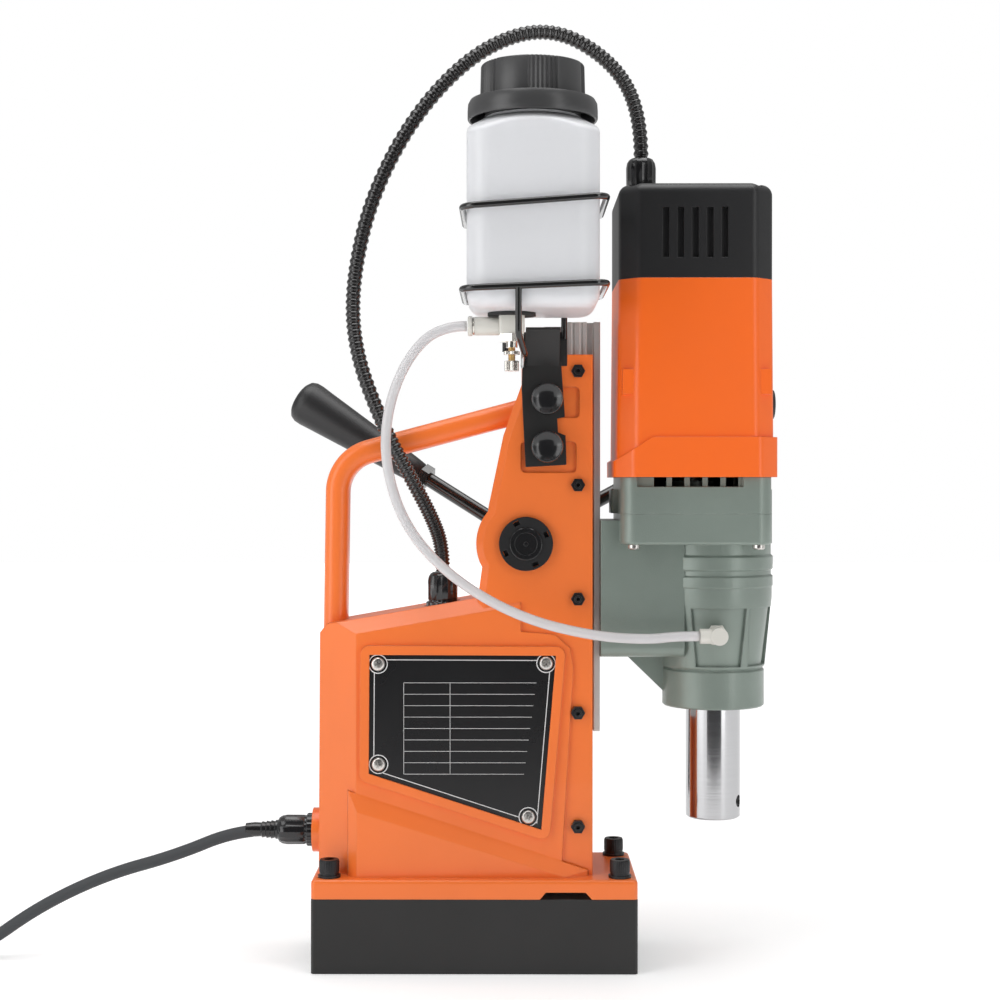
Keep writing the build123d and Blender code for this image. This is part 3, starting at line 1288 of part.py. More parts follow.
SHEET = 2.0
BRACKET_LEAN = math.radians(3.0)
with BuildPart() as bottle_bracket:
    # flat leaf on the cheek, leaning a little, with a notch in its right edge
    with BuildSketch(front(FRAME_HALF)):
        with BuildLine():
            Polyline((31, 394), (30.5, 376), (33, 325.5), (59.5, 327), (59, 346), (54, 348),
                     (53.5, 357), (58.5, 358), (56, 394), close=True)
        make_face()
        with Locations((46.8, 369.4), (46.8, 338.6)):
            Circle(3.2, mode=Mode.SUBTRACT)
    extrude(amount=SHEET)
    # upper leaf bends out towards the bottle
    with BuildSketch(Plane.YZ.offset(33)):
        with BuildLine():
            Polyline((-FRAME_HALF, 391), (-FRAME_HALF - SHEET, 391), (-46.5, 413.5), (-45, 415),
                     (-FRAME_HALF, 394), close=True)
        make_face()
    extrude(amount=22)
    # tab behind the upper leaf reaches the back wires of the cradle
    with BuildSketch(front(FRAME_HALF)):
        with Locations((45, 402)):
            Rectangle(30, 22)
    extrude(amount=0.9)


def thumb_knob(height):
    """Knurled thumb screw through the bracket into the cheek."""
    with BuildPart() as knob:
        with BuildSketch(front(FRAME_HALF - 12)):
            with Locations((46.8, height)):
                Circle(2.95)
        extrude(amount=12 + SHEET + 0.2)
        with BuildSketch(front(FRAME_HALF + SHEET + 0.2)):
            with Locations((46.8, height)):
                Circle(7)
        extrude(amount=3)
        with BuildSketch(front(FRAME_HALF + SHEET + 3.2)):
            with Locations((46.8, height)):
                Circle(10.6)
                with PolarLocations(10.6, 30):
                    Rectangle(1.0, 1.1, mode=Mode.SUBTRACT)
        extrude(amount=9)
    return knob


bracket_knob_upper = thumb_knob(369.4)
bracket_knob_lower = thumb_knob(338.6)


# ---------------------------------------------------------------- conduit, hose and power cord
def tube(points, diameter, name):
    """Flexible tube of straight runs joined by tangent arcs."""
    with BuildLine() as path:
        FilletPolyline(*points, radius=arc_radii(points, name))
    with BuildPart() as piece:
        with BuildSketch(Plane(origin=path.line @ 0, z_dir=path.line % 0)):
            Circle(diameter / 2)
        sweep(path=path.line)
    report_tube(name, piece.part, path.wire(), diameter)
    return piece


conduit = tube(CONDUIT_POINTS, CONDUIT_D, "conduit")
coolant_hose = tube(HOSE_POINTS, HOSE_D, "coolant hose")
power_cord = tube(CORD_POINTS, CORD_D, "power cord")

with BuildPart() as power_cord_coil:
    with BuildSketch():
        with Locations((COIL_X, COIL_Y)):
            Circle(COIL_OUTER)
            Circle(COIL_INNER, mode=Mode.SUBTRACT)
    extrude(amount=COIL_HEIGHT)
    fillet(power_cord_coil.edges(), radius=3)

# plug lying on the coil, in line with the turn that leads to it, its blades pointing to +Y
PLUG_X = COIL_X - 38
PLUG_TAIL_Y = COIL_Y - 15
PLUG_Z = COIL_HEIGHT + 13


def plug_plane(reach):
    """Plane across the plug at this reach from its tail, x towards -X and y up."""
    return Plane(origin=(PLUG_X, PLUG_TAIL_Y + reach, PLUG_Z), x_dir=(-1, 0, 0), z_dir=(0, 1, 0))


with BuildPart() as plug_body:
    with BuildSketch(plug_plane(0)):
        Circle(5.5)
    with BuildSketch(plug_plane(22)):
        Circle(8.5)
    loft()
    with BuildSketch(plug_plane(22)):
        RectangleRounded(30, 26, 8)
    extrude(amount=34)

with BuildPart() as plug_blades:
    with BuildSketch(plug_plane(56)):
        with Locations((-6.35, 3), (6.35, 3)):
            Rectangle(1.5, 6.4)
        with Locations((0, -8)):
            Circle(2.4)
    extrude(amount=17.5)

# ---------------------------------------------------------------- files
PIECES = {
    "magnet_housing": magnet_housing, "potted_coil": potted_coil,
    "base_bolts": base_bolts, "base_washers": base_washers,
    "frame_casting": frame_casting, "name_plate": name_plate,
    "name_plate_screws": name_plate_screws, "control_panel": control_panel,
    "magnet_switch": magnet_switch, "start_button": start_button,
    "stop_button": stop_button, "slide_rail": slide_rail, "feed_rack": feed_rack,
    "gib_strip": gib_strip, "gib_screws": gib_screws, "gib_nuts": gib_nuts,
    "shaft_bushes": shaft_bushes, "pinion_shaft": pinion_shaft, "lever_hub": lever_hub,
    "lever_rods": lever_rods, "lever_grips": lever_grips, "gear_case": gear_case,
    "gear_case_cover": gear_case_cover, "gear_case_screws": gear_case_screws,
    "motor_housing": motor_housing, "speed_dial": speed_dial, "motor_cap": motor_cap,
    "motor_cap_screws": motor_cap_screws, "motor_stator": motor_stator,
    "brush_holders": brush_holders, "motor_bearings": motor_bearings,
    "armature": armature, "commutator": commutator, "cooling_fan": cooling_fan,
    "gear_shaft_1": gear_shaft_1, "gear_shaft_2": gear_shaft_2, "spindle": spindle,
    "arbor_set_screws": arbor_set_screws, "spindle_gear": spindle_gear,
    "spindle_bearings": spindle_bearings, "motor_conduit_gland": motor_conduit_gland,
    "frame_conduit_gland": frame_conduit_gland, "cord_gland": cord_gland,
    "spindle_hose_fitting": spindle_hose_fitting, "coolant_bottle": coolant_bottle,
    "bottle_cap": bottle_cap, "bottle_gasket": bottle_gasket, "valve_body": valve_body,
    "bottle_hose_fitting": bottle_hose_fitting, "valve_knob": valve_knob,
    "bottle_cradle": bottle_cradle, "bottle_bracket": bottle_bracket,
    "bracket_knob_upper": bracket_knob_upper, "bracket_knob_lower": bracket_knob_lower,
    "conduit": conduit, "coolant_hose": coolant_hose, "power_cord": power_cord,
    "power_cord_coil": power_cord_coil, "plug_body": plug_body, "plug_blades": plug_blades,
}
for name, piece in PIECES.items():
    piece.part.label = name
    export_step(piece.part, f"parts/{name}.step")
print(len(PIECES), "pieces")
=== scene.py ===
"""Looks of a magnetic drill press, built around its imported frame.

Every size is in metres in the frame of the part: +Z up, +X towards the spindle, +Y towards
the capstan levers, and the origin in the middle of the magnet's pole face.
"""

from __future__ import annotations

import json
import logging
import math
from dataclasses import dataclass
from enum import Enum
from typing import Iterable, Sequence

import bmesh
import bpy
from mathutils import Matrix, Vector

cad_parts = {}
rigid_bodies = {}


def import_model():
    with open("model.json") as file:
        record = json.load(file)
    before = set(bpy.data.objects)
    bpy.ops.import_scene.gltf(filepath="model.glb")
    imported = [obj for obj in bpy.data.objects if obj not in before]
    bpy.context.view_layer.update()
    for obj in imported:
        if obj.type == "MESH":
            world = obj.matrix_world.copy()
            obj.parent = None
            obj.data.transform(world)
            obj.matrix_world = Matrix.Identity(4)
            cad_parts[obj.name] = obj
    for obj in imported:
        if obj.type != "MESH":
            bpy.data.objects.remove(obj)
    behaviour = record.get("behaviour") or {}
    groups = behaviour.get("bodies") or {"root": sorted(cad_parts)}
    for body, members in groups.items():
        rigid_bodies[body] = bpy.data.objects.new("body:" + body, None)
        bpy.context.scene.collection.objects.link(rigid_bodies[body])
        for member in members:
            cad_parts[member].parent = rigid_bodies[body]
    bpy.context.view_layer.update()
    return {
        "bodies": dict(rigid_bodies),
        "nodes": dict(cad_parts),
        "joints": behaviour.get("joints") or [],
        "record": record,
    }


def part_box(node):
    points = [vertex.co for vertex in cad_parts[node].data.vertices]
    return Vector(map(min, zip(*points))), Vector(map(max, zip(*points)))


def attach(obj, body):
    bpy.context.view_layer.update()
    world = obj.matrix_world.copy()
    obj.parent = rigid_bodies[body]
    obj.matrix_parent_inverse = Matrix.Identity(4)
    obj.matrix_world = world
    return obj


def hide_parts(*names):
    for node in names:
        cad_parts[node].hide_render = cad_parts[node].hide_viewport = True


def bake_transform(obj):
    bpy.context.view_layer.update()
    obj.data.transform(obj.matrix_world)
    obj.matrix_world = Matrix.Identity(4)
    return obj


log = logging.getLogger("drill_press")

MM = 0.001
FULL_TURN = 2 * math.pi
SHARP_ANGLE = math.radians(32)

MERGE_DISTANCE = 1e-6
WEAR_REACH = 1.6
SCATTER_DEPTH = 0.006
DUST_COLOUR = (0.55, 0.53, 0.50)
RANGE_INPUTS = ("From Min", "From Max", "To Min", "To Max")

Colour = tuple[float, float, float]
Point = tuple[float, float, float]
Pairs = Sequence[tuple[float, float]]


class Body(str, Enum):
    """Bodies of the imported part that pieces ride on."""

    FRAME = "frame"
    HEAD = "head"
    FEED = "feed_shaft"
    CAP = "cap"
    VALVE = "valve"
    UPPER_KNOB = "upper_knob"
    LOWER_KNOB = "lower_knob"


class Drive(Enum):
    """Recess in the head of a screw."""

    CROSS = "cross"
    SOCKET = "socket"


# ------------------------------------------------------------------ shader nodes
class Graph:
    """Adds nodes to one node tree and joins them."""

    def __init__(self, tree: bpy.types.NodeTree) -> None:
        """Starts on an emptied tree.

        Args:
            tree: The node tree of a material or of a group.
        """
        self.tree = tree
        tree.nodes.clear()

    def node(self, kind: str, **settings: object) -> bpy.types.Node:
        """Adds a node.

        Args:
            kind: Type name after ShaderNode, or a full type name.
            settings: Properties of the node.

        Returns:
            The new node.
        """
        full = kind if kind.startswith("Node") else "ShaderNode" + kind
        made = self.tree.nodes.new(full)
        for name, value in settings.items():
            setattr(made, name, value)
        return made

    def feed(self, socket: bpy.types.NodeSocket, value: object) -> None:
        """Links a socket to another one, or sets its own value.

        Args:
            socket: Input socket.
            value: Output socket, number or tuple.
        """
        if isinstance(value, bpy.types.NodeSocket):
            self.tree.links.new(value, socket)
        else:
            socket.default_value = value

    def math(self, operation: str, *values: object, clamp: bool = False) -> bpy.types.NodeSocket:
        """Adds a Math node and returns its result.

        Args:
            operation: Name of the operation.
            values: Sockets or numbers for its inputs.
            clamp: Whether the result is held from 0 to 1.

        Returns:
            The output socket.
        """
        made = self.node("Math", operation=operation, use_clamp=clamp)
        for socket, value in zip(made.inputs, values):
            self.feed(socket, value)
        return made.outputs[0]

    def remap(self, value: object, low: float, high: float, to_low: object,
              to_high: object) -> bpy.types.NodeSocket:
        """Maps a range of values to another one, clamped.

        Args:
            value: Socket to map.
            low: Value that becomes to_low.
            high: Value that becomes to_high.
            to_low: Start of the new range.
            to_high: End of the new range.

        Returns:
            The output socket.
        """
        made = self.node("MapRange")
        for name, part in zip(("Value", *RANGE_INPUTS), (value, low, high, to_low, to_high)):
            self.feed(made.inputs[name], part)
        return made.outputs["Result"]

    def blend(self, share: object, first: object, second: object) -> bpy.types.NodeSocket:
        """Mixes two colours and returns the result.

        Args:
            share: Share of the second colour.
            first: First colour, of 3 numbers or a socket.
            second: Second colour.

        Returns:
            The output socket.
        """
        made = self.node("Mix", data_type="RGBA")
        self.feed(made.inputs["Factor"], share)
        for socket, value in ((made.inputs[6], first), (made.inputs[7], second)):
            self.feed(socket, (*value, 1.0) if isinstance(value, tuple) else value)
        return made.outputs[2]

    def noise(self, where: object, scale: object, detail: float = 3.0) -> bpy.types.NodeSocket:
        """Adds a noise texture and returns its value.

        Args:
            where: Socket of the coordinates.
            scale: Scale, in turns per metre.
            detail: Octaves.

        Returns:
            The output socket.
        """
        made = self.node("TexNoise")
        self.feed(made.inputs["Vector"], where)
        self.feed(made.inputs["Scale"], scale)
        made.inputs["Detail"].default_value = detail
        return made.outputs["Fac"]


class Groups:
    """Shader node groups that several finishes share, each built once."""

    BEVEL_SAMPLES = 4
    GRAIN_HEIGHT = 0.0002
    LINE_HEIGHT = 0.0001
    _made: dict[str, bpy.types.NodeTree] = {}

    @classmethod
    def _start(cls, name: str, inputs: dict[str, float], outputs: dict[str, str]) -> Graph:
        """Makes an empty group with its sockets.

        Args:
            name: Name of the group.
            inputs: Input names with their defaults.
            outputs: Output names with their socket types.

        Returns:
            The graph of the new group.
        """
        tree = bpy.data.node_groups.new(name, "ShaderNodeTree")
        for label, value in inputs.items():
            socket = tree.interface.new_socket(
                name=label, in_out="INPUT", socket_type="NodeSocketFloat")
            socket.default_value = value
        for label, kind in outputs.items():
            tree.interface.new_socket(name=label, in_out="OUTPUT", socket_type=kind)
        cls._made[name] = tree
        return Graph(tree)

    @classmethod
    def _relief(cls, graph: Graph, given: object, height: bpy.types.NodeSocket,
                varied: bpy.types.NodeSocket, distance: float) -> None:
        """Ends a group: a relief over softened edges, and the colour's variation.

        Args:
            graph: Graph of the group.
            given: Sockets of the group's inputs.
            height: Height of the relief.
            varied: Value that varies the colour.
            distance: Height of the relief, in metres.
        """
        rounded = graph.node("Bevel", samples=cls.BEVEL_SAMPLES)
        graph.feed(rounded.inputs["Radius"], given["Edge Radius"])
        bump = graph.node("Bump")
        bump.inputs["Distance"].default_value = distance
        graph.feed(bump.inputs["Strength"], given["Depth"])
        graph.feed(bump.inputs["Height"], height)
        graph.feed(bump.inputs["Normal"], rounded.outputs[0])
        out = graph.node("NodeGroupOutput")
        graph.feed(out.inputs["Normal"], bump.outputs[0])
        graph.feed(out.inputs["Variation"], graph.remap(varied, 0.3, 0.7, 0.0, 1.0))

    @classmethod
    def edge_wear(cls) -> bpy.types.NodeTree:
        """Mask of worn edges: where a rounded normal leaves the true one, broken up by noise."""
        name = "Edge Wear"
        if name in cls._made:
            return cls._made[name]
        graph = cls._start(name, {"Radius": 0.001, "Amount": 0.5, "Breakup": 120.0},
                           {"Mask": "NodeSocketFloat"})
        given = graph.node("NodeGroupInput").outputs
        rounded = graph.node("Bevel", samples=cls.BEVEL_SAMPLES)
        graph.feed(rounded.inputs["Radius"], given["Radius"])
        true_normal = graph.node("NewGeometry").outputs["Normal"]
        along = graph.node("VectorMath", operation="DOT_PRODUCT")
        graph.feed(along.inputs[0], rounded.outputs[0])
        graph.feed(along.inputs[1], true_normal)
        bend = graph.math("SUBTRACT", 1.0, along.outputs["Value"])
        where = graph.node("TexCoord").outputs["Object"]
        patches = graph.noise(where, given["Breakup"], 5.0)
        edge = graph.remap(bend, 0.04, 0.22, 0.0, 1.0)
        broken = graph.remap(patches, 0.44, 0.64, 0.0, given["Amount"])
        out = graph.node("NodeGroupOutput")
        graph.feed(out.inputs["Mask"], graph.math("MULTIPLY", edge, broken, clamp=True))
        return graph.tree

    @classmethod
    def surface_grain(cls) -> bpy.types.NodeTree:
        """Fine orange-peel or sand grain over softened edges, with a slow colour variation."""
        name = "Surface Grain"
        if name in cls._made:
            return cls._made[name]
        graph = cls._start(
            name, {"Scale": 900.0, "Depth": 0.5, "Edge Radius": 0.0006},
            {"Normal": "NodeSocketVector", "Variation": "NodeSocketFloat"})
        given = graph.node("NodeGroupInput").outputs
        where = graph.node("TexCoord").outputs["Object"]
        fine = graph.noise(where, given["Scale"], 2.0)
        slow = graph.noise(where, 14.0, 4.0)
        cls._relief(graph, given, fine, slow, cls.GRAIN_HEIGHT)
        return graph.tree

    @classmethod
    def brushed_lines(cls) -> bpy.types.NodeTree:
        """Fine machining lines along one axis, which Stretch X, Y and Z choose."""
        name = "Brushed Lines"
        if name in cls._made:
            return cls._made[name]
        graph = cls._start(
            name, {"Stretch X": 1.0, "Stretch Y": 1.0, "Stretch Z": 1.0, "Depth": 0.2,
                   "Edge Radius": 0.0004},
            {"Normal": "NodeSocketVector", "Variation": "NodeSocketFloat"})
        given = graph.node("NodeGroupInput").outputs
        where = graph.node("TexCoord").outputs["Object"]
        scale = graph.node("CombineXYZ")
        for axis in "XYZ":
            graph.feed(scale.inputs[axis], given["Stretch " + axis])
        stretched = graph.node("VectorMath", operation="MULTIPLY")
        graph.feed(stretched.inputs[0], where)
        graph.feed(stretched.inputs[1], scale.outputs[0])
        lines = graph.noise(stretched.outputs[0], 60.0, 4.0)
        cls._relief(graph, given, lines, lines, cls.LINE_HEIGHT)
        return graph.tree

    @classmethod
    def settled_dust(cls) -> bpy.types.NodeTree:
        """Mask of the thin dust that settles on upward faces."""
        name = "Settled Dust"
        if name in cls._made:
            return cls._made[name]
        graph = cls._start(name, {"Amount": 0.1, "Scale": 60.0}, {"Mask": "NodeSocketFloat"})
        given = graph.node("NodeGroupInput").outputs
        where = graph.node("TexCoord").outputs["Object"]
        split = graph.node("SeparateXYZ")
        graph.feed(split.inputs[0], graph.node("NewGeometry").outputs["Normal"])
        upward = graph.remap(split.outputs["Z"], 0.5, 1.0, 0.0, given["Amount"])
        speckle = graph.remap(graph.noise(where, given["Scale"], 6.0), 0.35, 0.75, 0.0, 1.0)
        out = graph.node("NodeGroupOutput")
        graph.feed(out.inputs["Mask"], graph.math("MULTIPLY", upward, speckle, clamp=True))
        return graph.tree


class Grain(Enum):
    """How a finish's fine relief runs."""

    EVEN = (0.0, 0.0, 0.0)
    ALONG_Z = (30.0, 30.0, 0.3)
    ROUND_Z = (0.3, 0.3, 30.0)


@dataclass(frozen=True)
class Finish:
    """A finish, from which one material is built.

    Attributes:
        name: Name of the material.
        colour: Base colour, linear.
        roughness: Mean roughness.
        metallic: 1 for bare metal.
        mottle: Share by which the colour darkens in its slow variation.
        grain: How the relief runs.
        grain_scale: Scale of an even relief.
        depth: Strength of the relief.
        edge: Radius of the softened edges, in metres.
        wear: How much of the edges is worn.
        worn: Colour of a worn edge.
        dust: How much dust lies on upward faces.
        coat: Weight of a clear coat.
        specular: Specular level.
        subsurface: Weight of light scattered inside.
        transmission: Weight of light let through.
    """

    name: str
    colour: Colour
    roughness: float
    metallic: float = 0.0
    mottle: float = 0.10
    grain: Grain = Grain.EVEN
    grain_scale: float = 1400.0
    depth: float = 0.15
    edge: float = 0.0006
    wear: float = 0.15
    worn: Colour = (0.6, 0.6, 0.6)
    dust: float = 0.06
    coat: float = 0.0
    specular: float = 0.5
    subsurface: float = 0.0
    transmission: float = 0.0

    def build(self) -> bpy.types.Material:
        """Builds the material, or returns it if it is there.

        Returns:
            The material.
        """
        found = bpy.data.materials.get(self.name)
        if found:
            return found
        material = bpy.data.materials.new(self.name)
        material.use_nodes = True
        graph = Graph(material.node_tree)
        relief = graph.node("Group")
        if self.grain is Grain.EVEN:
            relief.node_tree = Groups.surface_grain()
            relief.inputs["Scale"].default_value = self.grain_scale
        else:
            relief.node_tree = Groups.brushed_lines()
            for axis, value in zip("XYZ", self.grain.value):
                relief.inputs["Stretch " + axis].default_value = value
        relief.inputs["Depth"].default_value = self.depth
        relief.inputs["Edge Radius"].default_value = self.edge
        varied = relief.outputs["Variation"]
        dark = tuple(part * (1 - self.mottle) for part in self.colour)
        light = tuple(min(1.0, part * (1 + self.mottle / 2)) for part in self.colour)
        colour = graph.blend(varied, dark, light)
        roughness = graph.remap(varied, 0.0, 1.0, self.roughness + 0.04, self.roughness - 0.03)
        if self.wear > 0:
            worn = graph.node("Group", node_tree=Groups.edge_wear())
            worn.inputs["Amount"].default_value = self.wear
            worn.inputs["Radius"].default_value = WEAR_REACH * self.edge
            colour = graph.blend(worn.outputs["Mask"], colour, self.worn)
        if self.dust > 0:
            dusty = graph.node("Group", node_tree=Groups.settled_dust())
            dusty.inputs["Amount"].default_value = self.dust
            colour = graph.blend(dusty.outputs["Mask"], colour, DUST_COLOUR)
            roughness = graph.math("ADD", roughness, dusty.outputs["Mask"], clamp=True)
        shader = graph.node("BsdfPrincipled")
        for name, value in (("Metallic", self.metallic), ("Coat Weight", self.coat),
                            ("Specular IOR Level", self.specular),
                            ("Subsurface Weight", self.subsurface),
                            ("Transmission Weight", self.transmission)):
            shader.inputs[name].default_value = value
        if self.subsurface > 0:
            shader.inputs["Subsurface Radius"].default_value = (1.0, 1.0, 1.0)
            shader.inputs["Subsurface Scale"].default_value = SCATTER_DEPTH
        graph.feed(shader.inputs["Base Color"], colour)
        graph.feed(shader.inputs["Roughness"], roughness)
        graph.feed(shader.inputs["Normal"], relief.outputs["Normal"])
        graph.feed(graph.node("OutputMaterial").inputs["Surface"], shader.outputs[0])
        return material


ORANGE = (0.90, 0.185, 0.028)
ORANGE_PAINT = Finish("satin_orange_paint", ORANGE, 0.36, mottle=0.05, grain_scale=1500.0,
                      depth=0.10, edge=0.0012, wear=0.10, worn=(1.0, 0.42, 0.16), coat=0.15)
ORANGE_SHELL = Finish("moulded_orange_plastic", (0.93, 0.145, 0.010), 0.33, mottle=0.03,
                      grain_scale=2600.0, depth=0.06, edge=0.0008, wear=0.05,
                      worn=(1.0, 0.45, 0.2), specular=0.55)
MAGNET_PAINT = Finish("satin_black_magnet", (0.012, 0.012, 0.012), 0.46, mottle=0.15,
                      grain_scale=900.0, depth=0.12, edge=0.0007, worn=(0.14, 0.14, 0.14))
COIL_RESIN = Finish("coil_potting_resin", (0.05, 0.03, 0.02), 0.3, mottle=0.3)
BLACK_OXIDE = Finish("black_oxide_steel", (0.03, 0.03, 0.032), 0.38, metallic=0.6,
                     mottle=0.25, depth=0.12, edge=0.0004, wear=0.5, worn=(0.28, 0.27, 0.26))
ZINC = Finish("zinc_plated_steel", (0.62, 0.60, 0.57), 0.3, metallic=1.0, mottle=0.2,
              depth=0.06, edge=0.0003, wear=0.3, worn=(0.85, 0.85, 0.82))
PLATE_BLACK = Finish("anodised_plate", (0.007, 0.007, 0.008), 0.28, mottle=0.1,
                     grain_scale=3000.0, depth=0.04, edge=0.0003, wear=0.2, dust=0.02)
PLATE_INK = Finish("plate_white_line", (0.82, 0.82, 0.82), 0.5, depth=0.03, wear=0.0)
PANEL_BLACK = Finish("moulded_panel", (0.03, 0.03, 0.033), 0.5, grain_scale=2200.0, depth=0.3)
SWITCH_RED = Finish("switch_red", (0.55, 0.02, 0.015), 0.28, depth=0.03, wear=0.08)
SWITCH_GREEN = Finish("switch_green", (0.02, 0.36, 0.08), 0.28, depth=0.03, wear=0.08)
RAIL_METAL = Finish("milled_aluminium", (0.72, 0.71, 0.69), 0.42, metallic=0.85, mottle=0.06,
                    grain=Grain.ALONG_Z, depth=0.12, edge=0.0004, wear=0.2,
                    worn=(0.9, 0.9, 0.9))
GEAR_STEEL = Finish("cut_gear_steel", (0.42, 0.42, 0.43), 0.34, metallic=1.0,
                    grain=Grain.ROUND_Z, depth=0.15, edge=0.0002, wear=0.3)
BRASS = Finish("plain_brass", (0.72, 0.50, 0.22), 0.3, metallic=1.0, mottle=0.2, edge=0.0002)
COPPER = Finish("turned_copper", (0.80, 0.40, 0.24), 0.28, metallic=1.0,
                grain=Grain.ROUND_Z, edge=0.0002)
NICKEL = Finish("nickel_plate", (0.74, 0.71, 0.66), 0.22, metallic=1.0, mottle=0.12,
                depth=0.04, edge=0.0002, wear=0.2, worn=(0.9, 0.88, 0.84))
CHROME = Finish("polished_spindle", (0.50, 0.50, 0.51), 0.12, metallic=1.0, mottle=0.04,
                grain=Grain.ROUND_Z, depth=0.015, edge=0.0005, wear=0.1, dust=0.0)
BLACK_MOULDED = Finish("black_moulded_plastic", (0.012, 0.012, 0.013), 0.42, mottle=0.12,
                       grain_scale=2400.0, depth=0.22, edge=0.0007, worn=(0.10, 0.10, 0.10))
GRIP_BLACK = Finish("black_grip_plastic", (0.014, 0.014, 0.015), 0.4, mottle=0.12,
                    grain_scale=2400.0, depth=0.2, edge=0.0007, worn=(0.07, 0.07, 0.07))
CONDUIT_GLOSS = Finish("conduit_polyamide", (0.012, 0.011, 0.011), 0.2, mottle=0.1, depth=0.03,
                       edge=0.0, wear=0.0, dust=0.0, coat=0.25)
BLACK_GLOSS = Finish("glossy_black_nylon", (0.012, 0.012, 0.013), 0.18, mottle=0.1,
                     depth=0.04, edge=0.0004, wear=0.1, worn=(0.08, 0.08, 0.08), coat=0.2)
CAP_BLACK = Finish("satin_cap_plastic", (0.045, 0.045, 0.046), 0.34, mottle=0.1,
                   depth=0.05, edge=0.0004, wear=0.12, worn=(0.14, 0.14, 0.14))
HAMMERED_GREY = Finish("grey_green_casting", (0.225, 0.272, 0.240), 0.38, metallic=0.25,
                       mottle=0.14, grain_scale=1700.0, depth=0.55, edge=0.0011, wear=0.25,
                       worn=(0.42, 0.47, 0.43), coat=0.2)
WHITE_FITTING = Finish("white_moulded_fitting", (0.66, 0.65, 0.60), 0.28, mottle=0.04,
                       depth=0.03, edge=0.0003, wear=0.0, subsurface=0.15)
BOTTLE_WHITE = Finish("translucent_bottle", (0.74, 0.75, 0.78), 0.36, mottle=0.03,
                      grain_scale=500.0, depth=0.03, edge=0.0012, wear=0.0, dust=0.02,
                      subsurface=0.55)
HOSE_MILK = Finish("milky_hose", (0.70, 0.69, 0.70), 0.24, mottle=0.03, depth=0.02,
                   edge=0.0002, wear=0.0, dust=0.0, subsurface=0.35, transmission=0.15)
SEAL_RUBBER = Finish("seal_rubber", (0.02, 0.02, 0.02), 0.7, depth=0.2, wear=0.0)
CORD_RUBBER = Finish("cord_rubber", (0.045, 0.043, 0.043), 0.5, mottle=0.12,
                     grain_scale=1100.0, depth=0.2, edge=0.0004, wear=0.0, dust=0.12)
WIRE_GLOSS = Finish("dipped_wire", (0.010, 0.010, 0.010), 0.14, mottle=0.1, depth=0.03,
                    edge=0.0003, wear=0.06, worn=(0.2, 0.2, 0.2), coat=0.4)
SHEET_BLACK = Finish("satin_black_sheet", (0.014, 0.014, 0.014), 0.5, mottle=0.2,
                     grain_scale=1600.0, depth=0.2, edge=0.0003, wear=0.35,
                     worn=(0.10, 0.10, 0.10))
LAMINATION = Finish("lamination_stack", (0.36, 0.34, 0.32), 0.4, metallic=0.9,
                    grain=Grain.ROUND_Z, depth=0.6, edge=0.0002, wear=0.2)
FLOOR_WHITE = Finish("studio_floor", (0.86, 0.86, 0.86), 0.6, mottle=0.015, grain_scale=60.0,
                     depth=0.02, edge=0.0, wear=0.0, dust=0.0, specular=0.25)


# ------------------------------------------------------------------ mesh making
def frame_of(centre: Point | Vector, axis: Point | Vector) -> Matrix:
    """Turns Z to an axis and moves to a centre.

    Args:
        centre: Where the origin goes.
        axis: Direction that local Z points in.

    Returns:
        The matrix.
    """
    turn = Vector(axis).to_track_quat("Z", "Y").to_matrix().to_4x4()
    return Matrix.Translation(Vector(centre)) @ turn


def edges_of(verts: Iterable[bmesh.types.BMVert]) -> list[bmesh.types.BMEdge]:
    """Lists the edges at some vertices, each once and always in the same order."""
    return list(dict.fromkeys(edge for vert in verts for edge in vert.link_edges))


def ring(bm: bmesh.types.BMesh, place: Matrix, radius: float, segments: int,
         notch: float = 1.0, group: int = 0, groups: int = 0) -> list[bmesh.types.BMEdge]:
    """Adds a round edge loop, with notches if asked.

    Args:
        bm: Mesh to add to.
        place: Where its centre and axis are.
        radius: Its radius.
        segments: Its corners.
        notch: Share of the radius that every second corner keeps.
        group: Corners of each run of notches, or 0 for notches all round.
        groups: How many runs of notches there are.

    Returns:
        The edges of the loop.
    """
    made = bmesh.ops.create_circle(bm, segments=segments, radius=radius, matrix=place)["verts"]
    if notch != 1.0:
        pitch = segments // groups if groups else segments
        low = [v for i, v in enumerate(made) if i % 2 and (not group or i % pitch < group)]
        bmesh.ops.scale(bm, verts=low, vec=(notch,) * 3, space=place.inverted())
    return edges_of(made)


def rounded_ring(bm: bmesh.types.BMesh, place: Matrix, width: float, depth: float,
                 radius: float, segments: int = 6) -> list[bmesh.types.BMEdge]:
    """Adds a rounded rectangle as an edge loop.

    Args:
        bm: Mesh to add to.
        place: Where its centre and axis are.
        width: Size along local X.
        depth: Size along local Y.
        radius: Radius of the corners.
        segments: Segments of a corner.

    Returns:
        The edges of the loop.
    """
    made = bmesh.ops.create_circle(bm, segments=4, radius=math.sqrt(0.5))["verts"]
    bmesh.ops.rotate(bm, verts=made, matrix=Matrix.Rotation(math.pi / 4, 3, "Z"))
    bmesh.ops.scale(bm, verts=made, vec=(width, depth, 1.0))
    bevelled = bmesh.ops.bevel(bm, geom=made, offset=radius, segments=segments, profile=0.5,
                               affect="VERTICES", offset_type="OFFSET", material=-1)
    kept = [vert for vert in made if vert.is_valid]
    corners = list(dict.fromkeys([*bevelled["verts"], *kept]))
    bmesh.ops.transform(bm, matrix=place, verts=corners)
    return edges_of(corners)


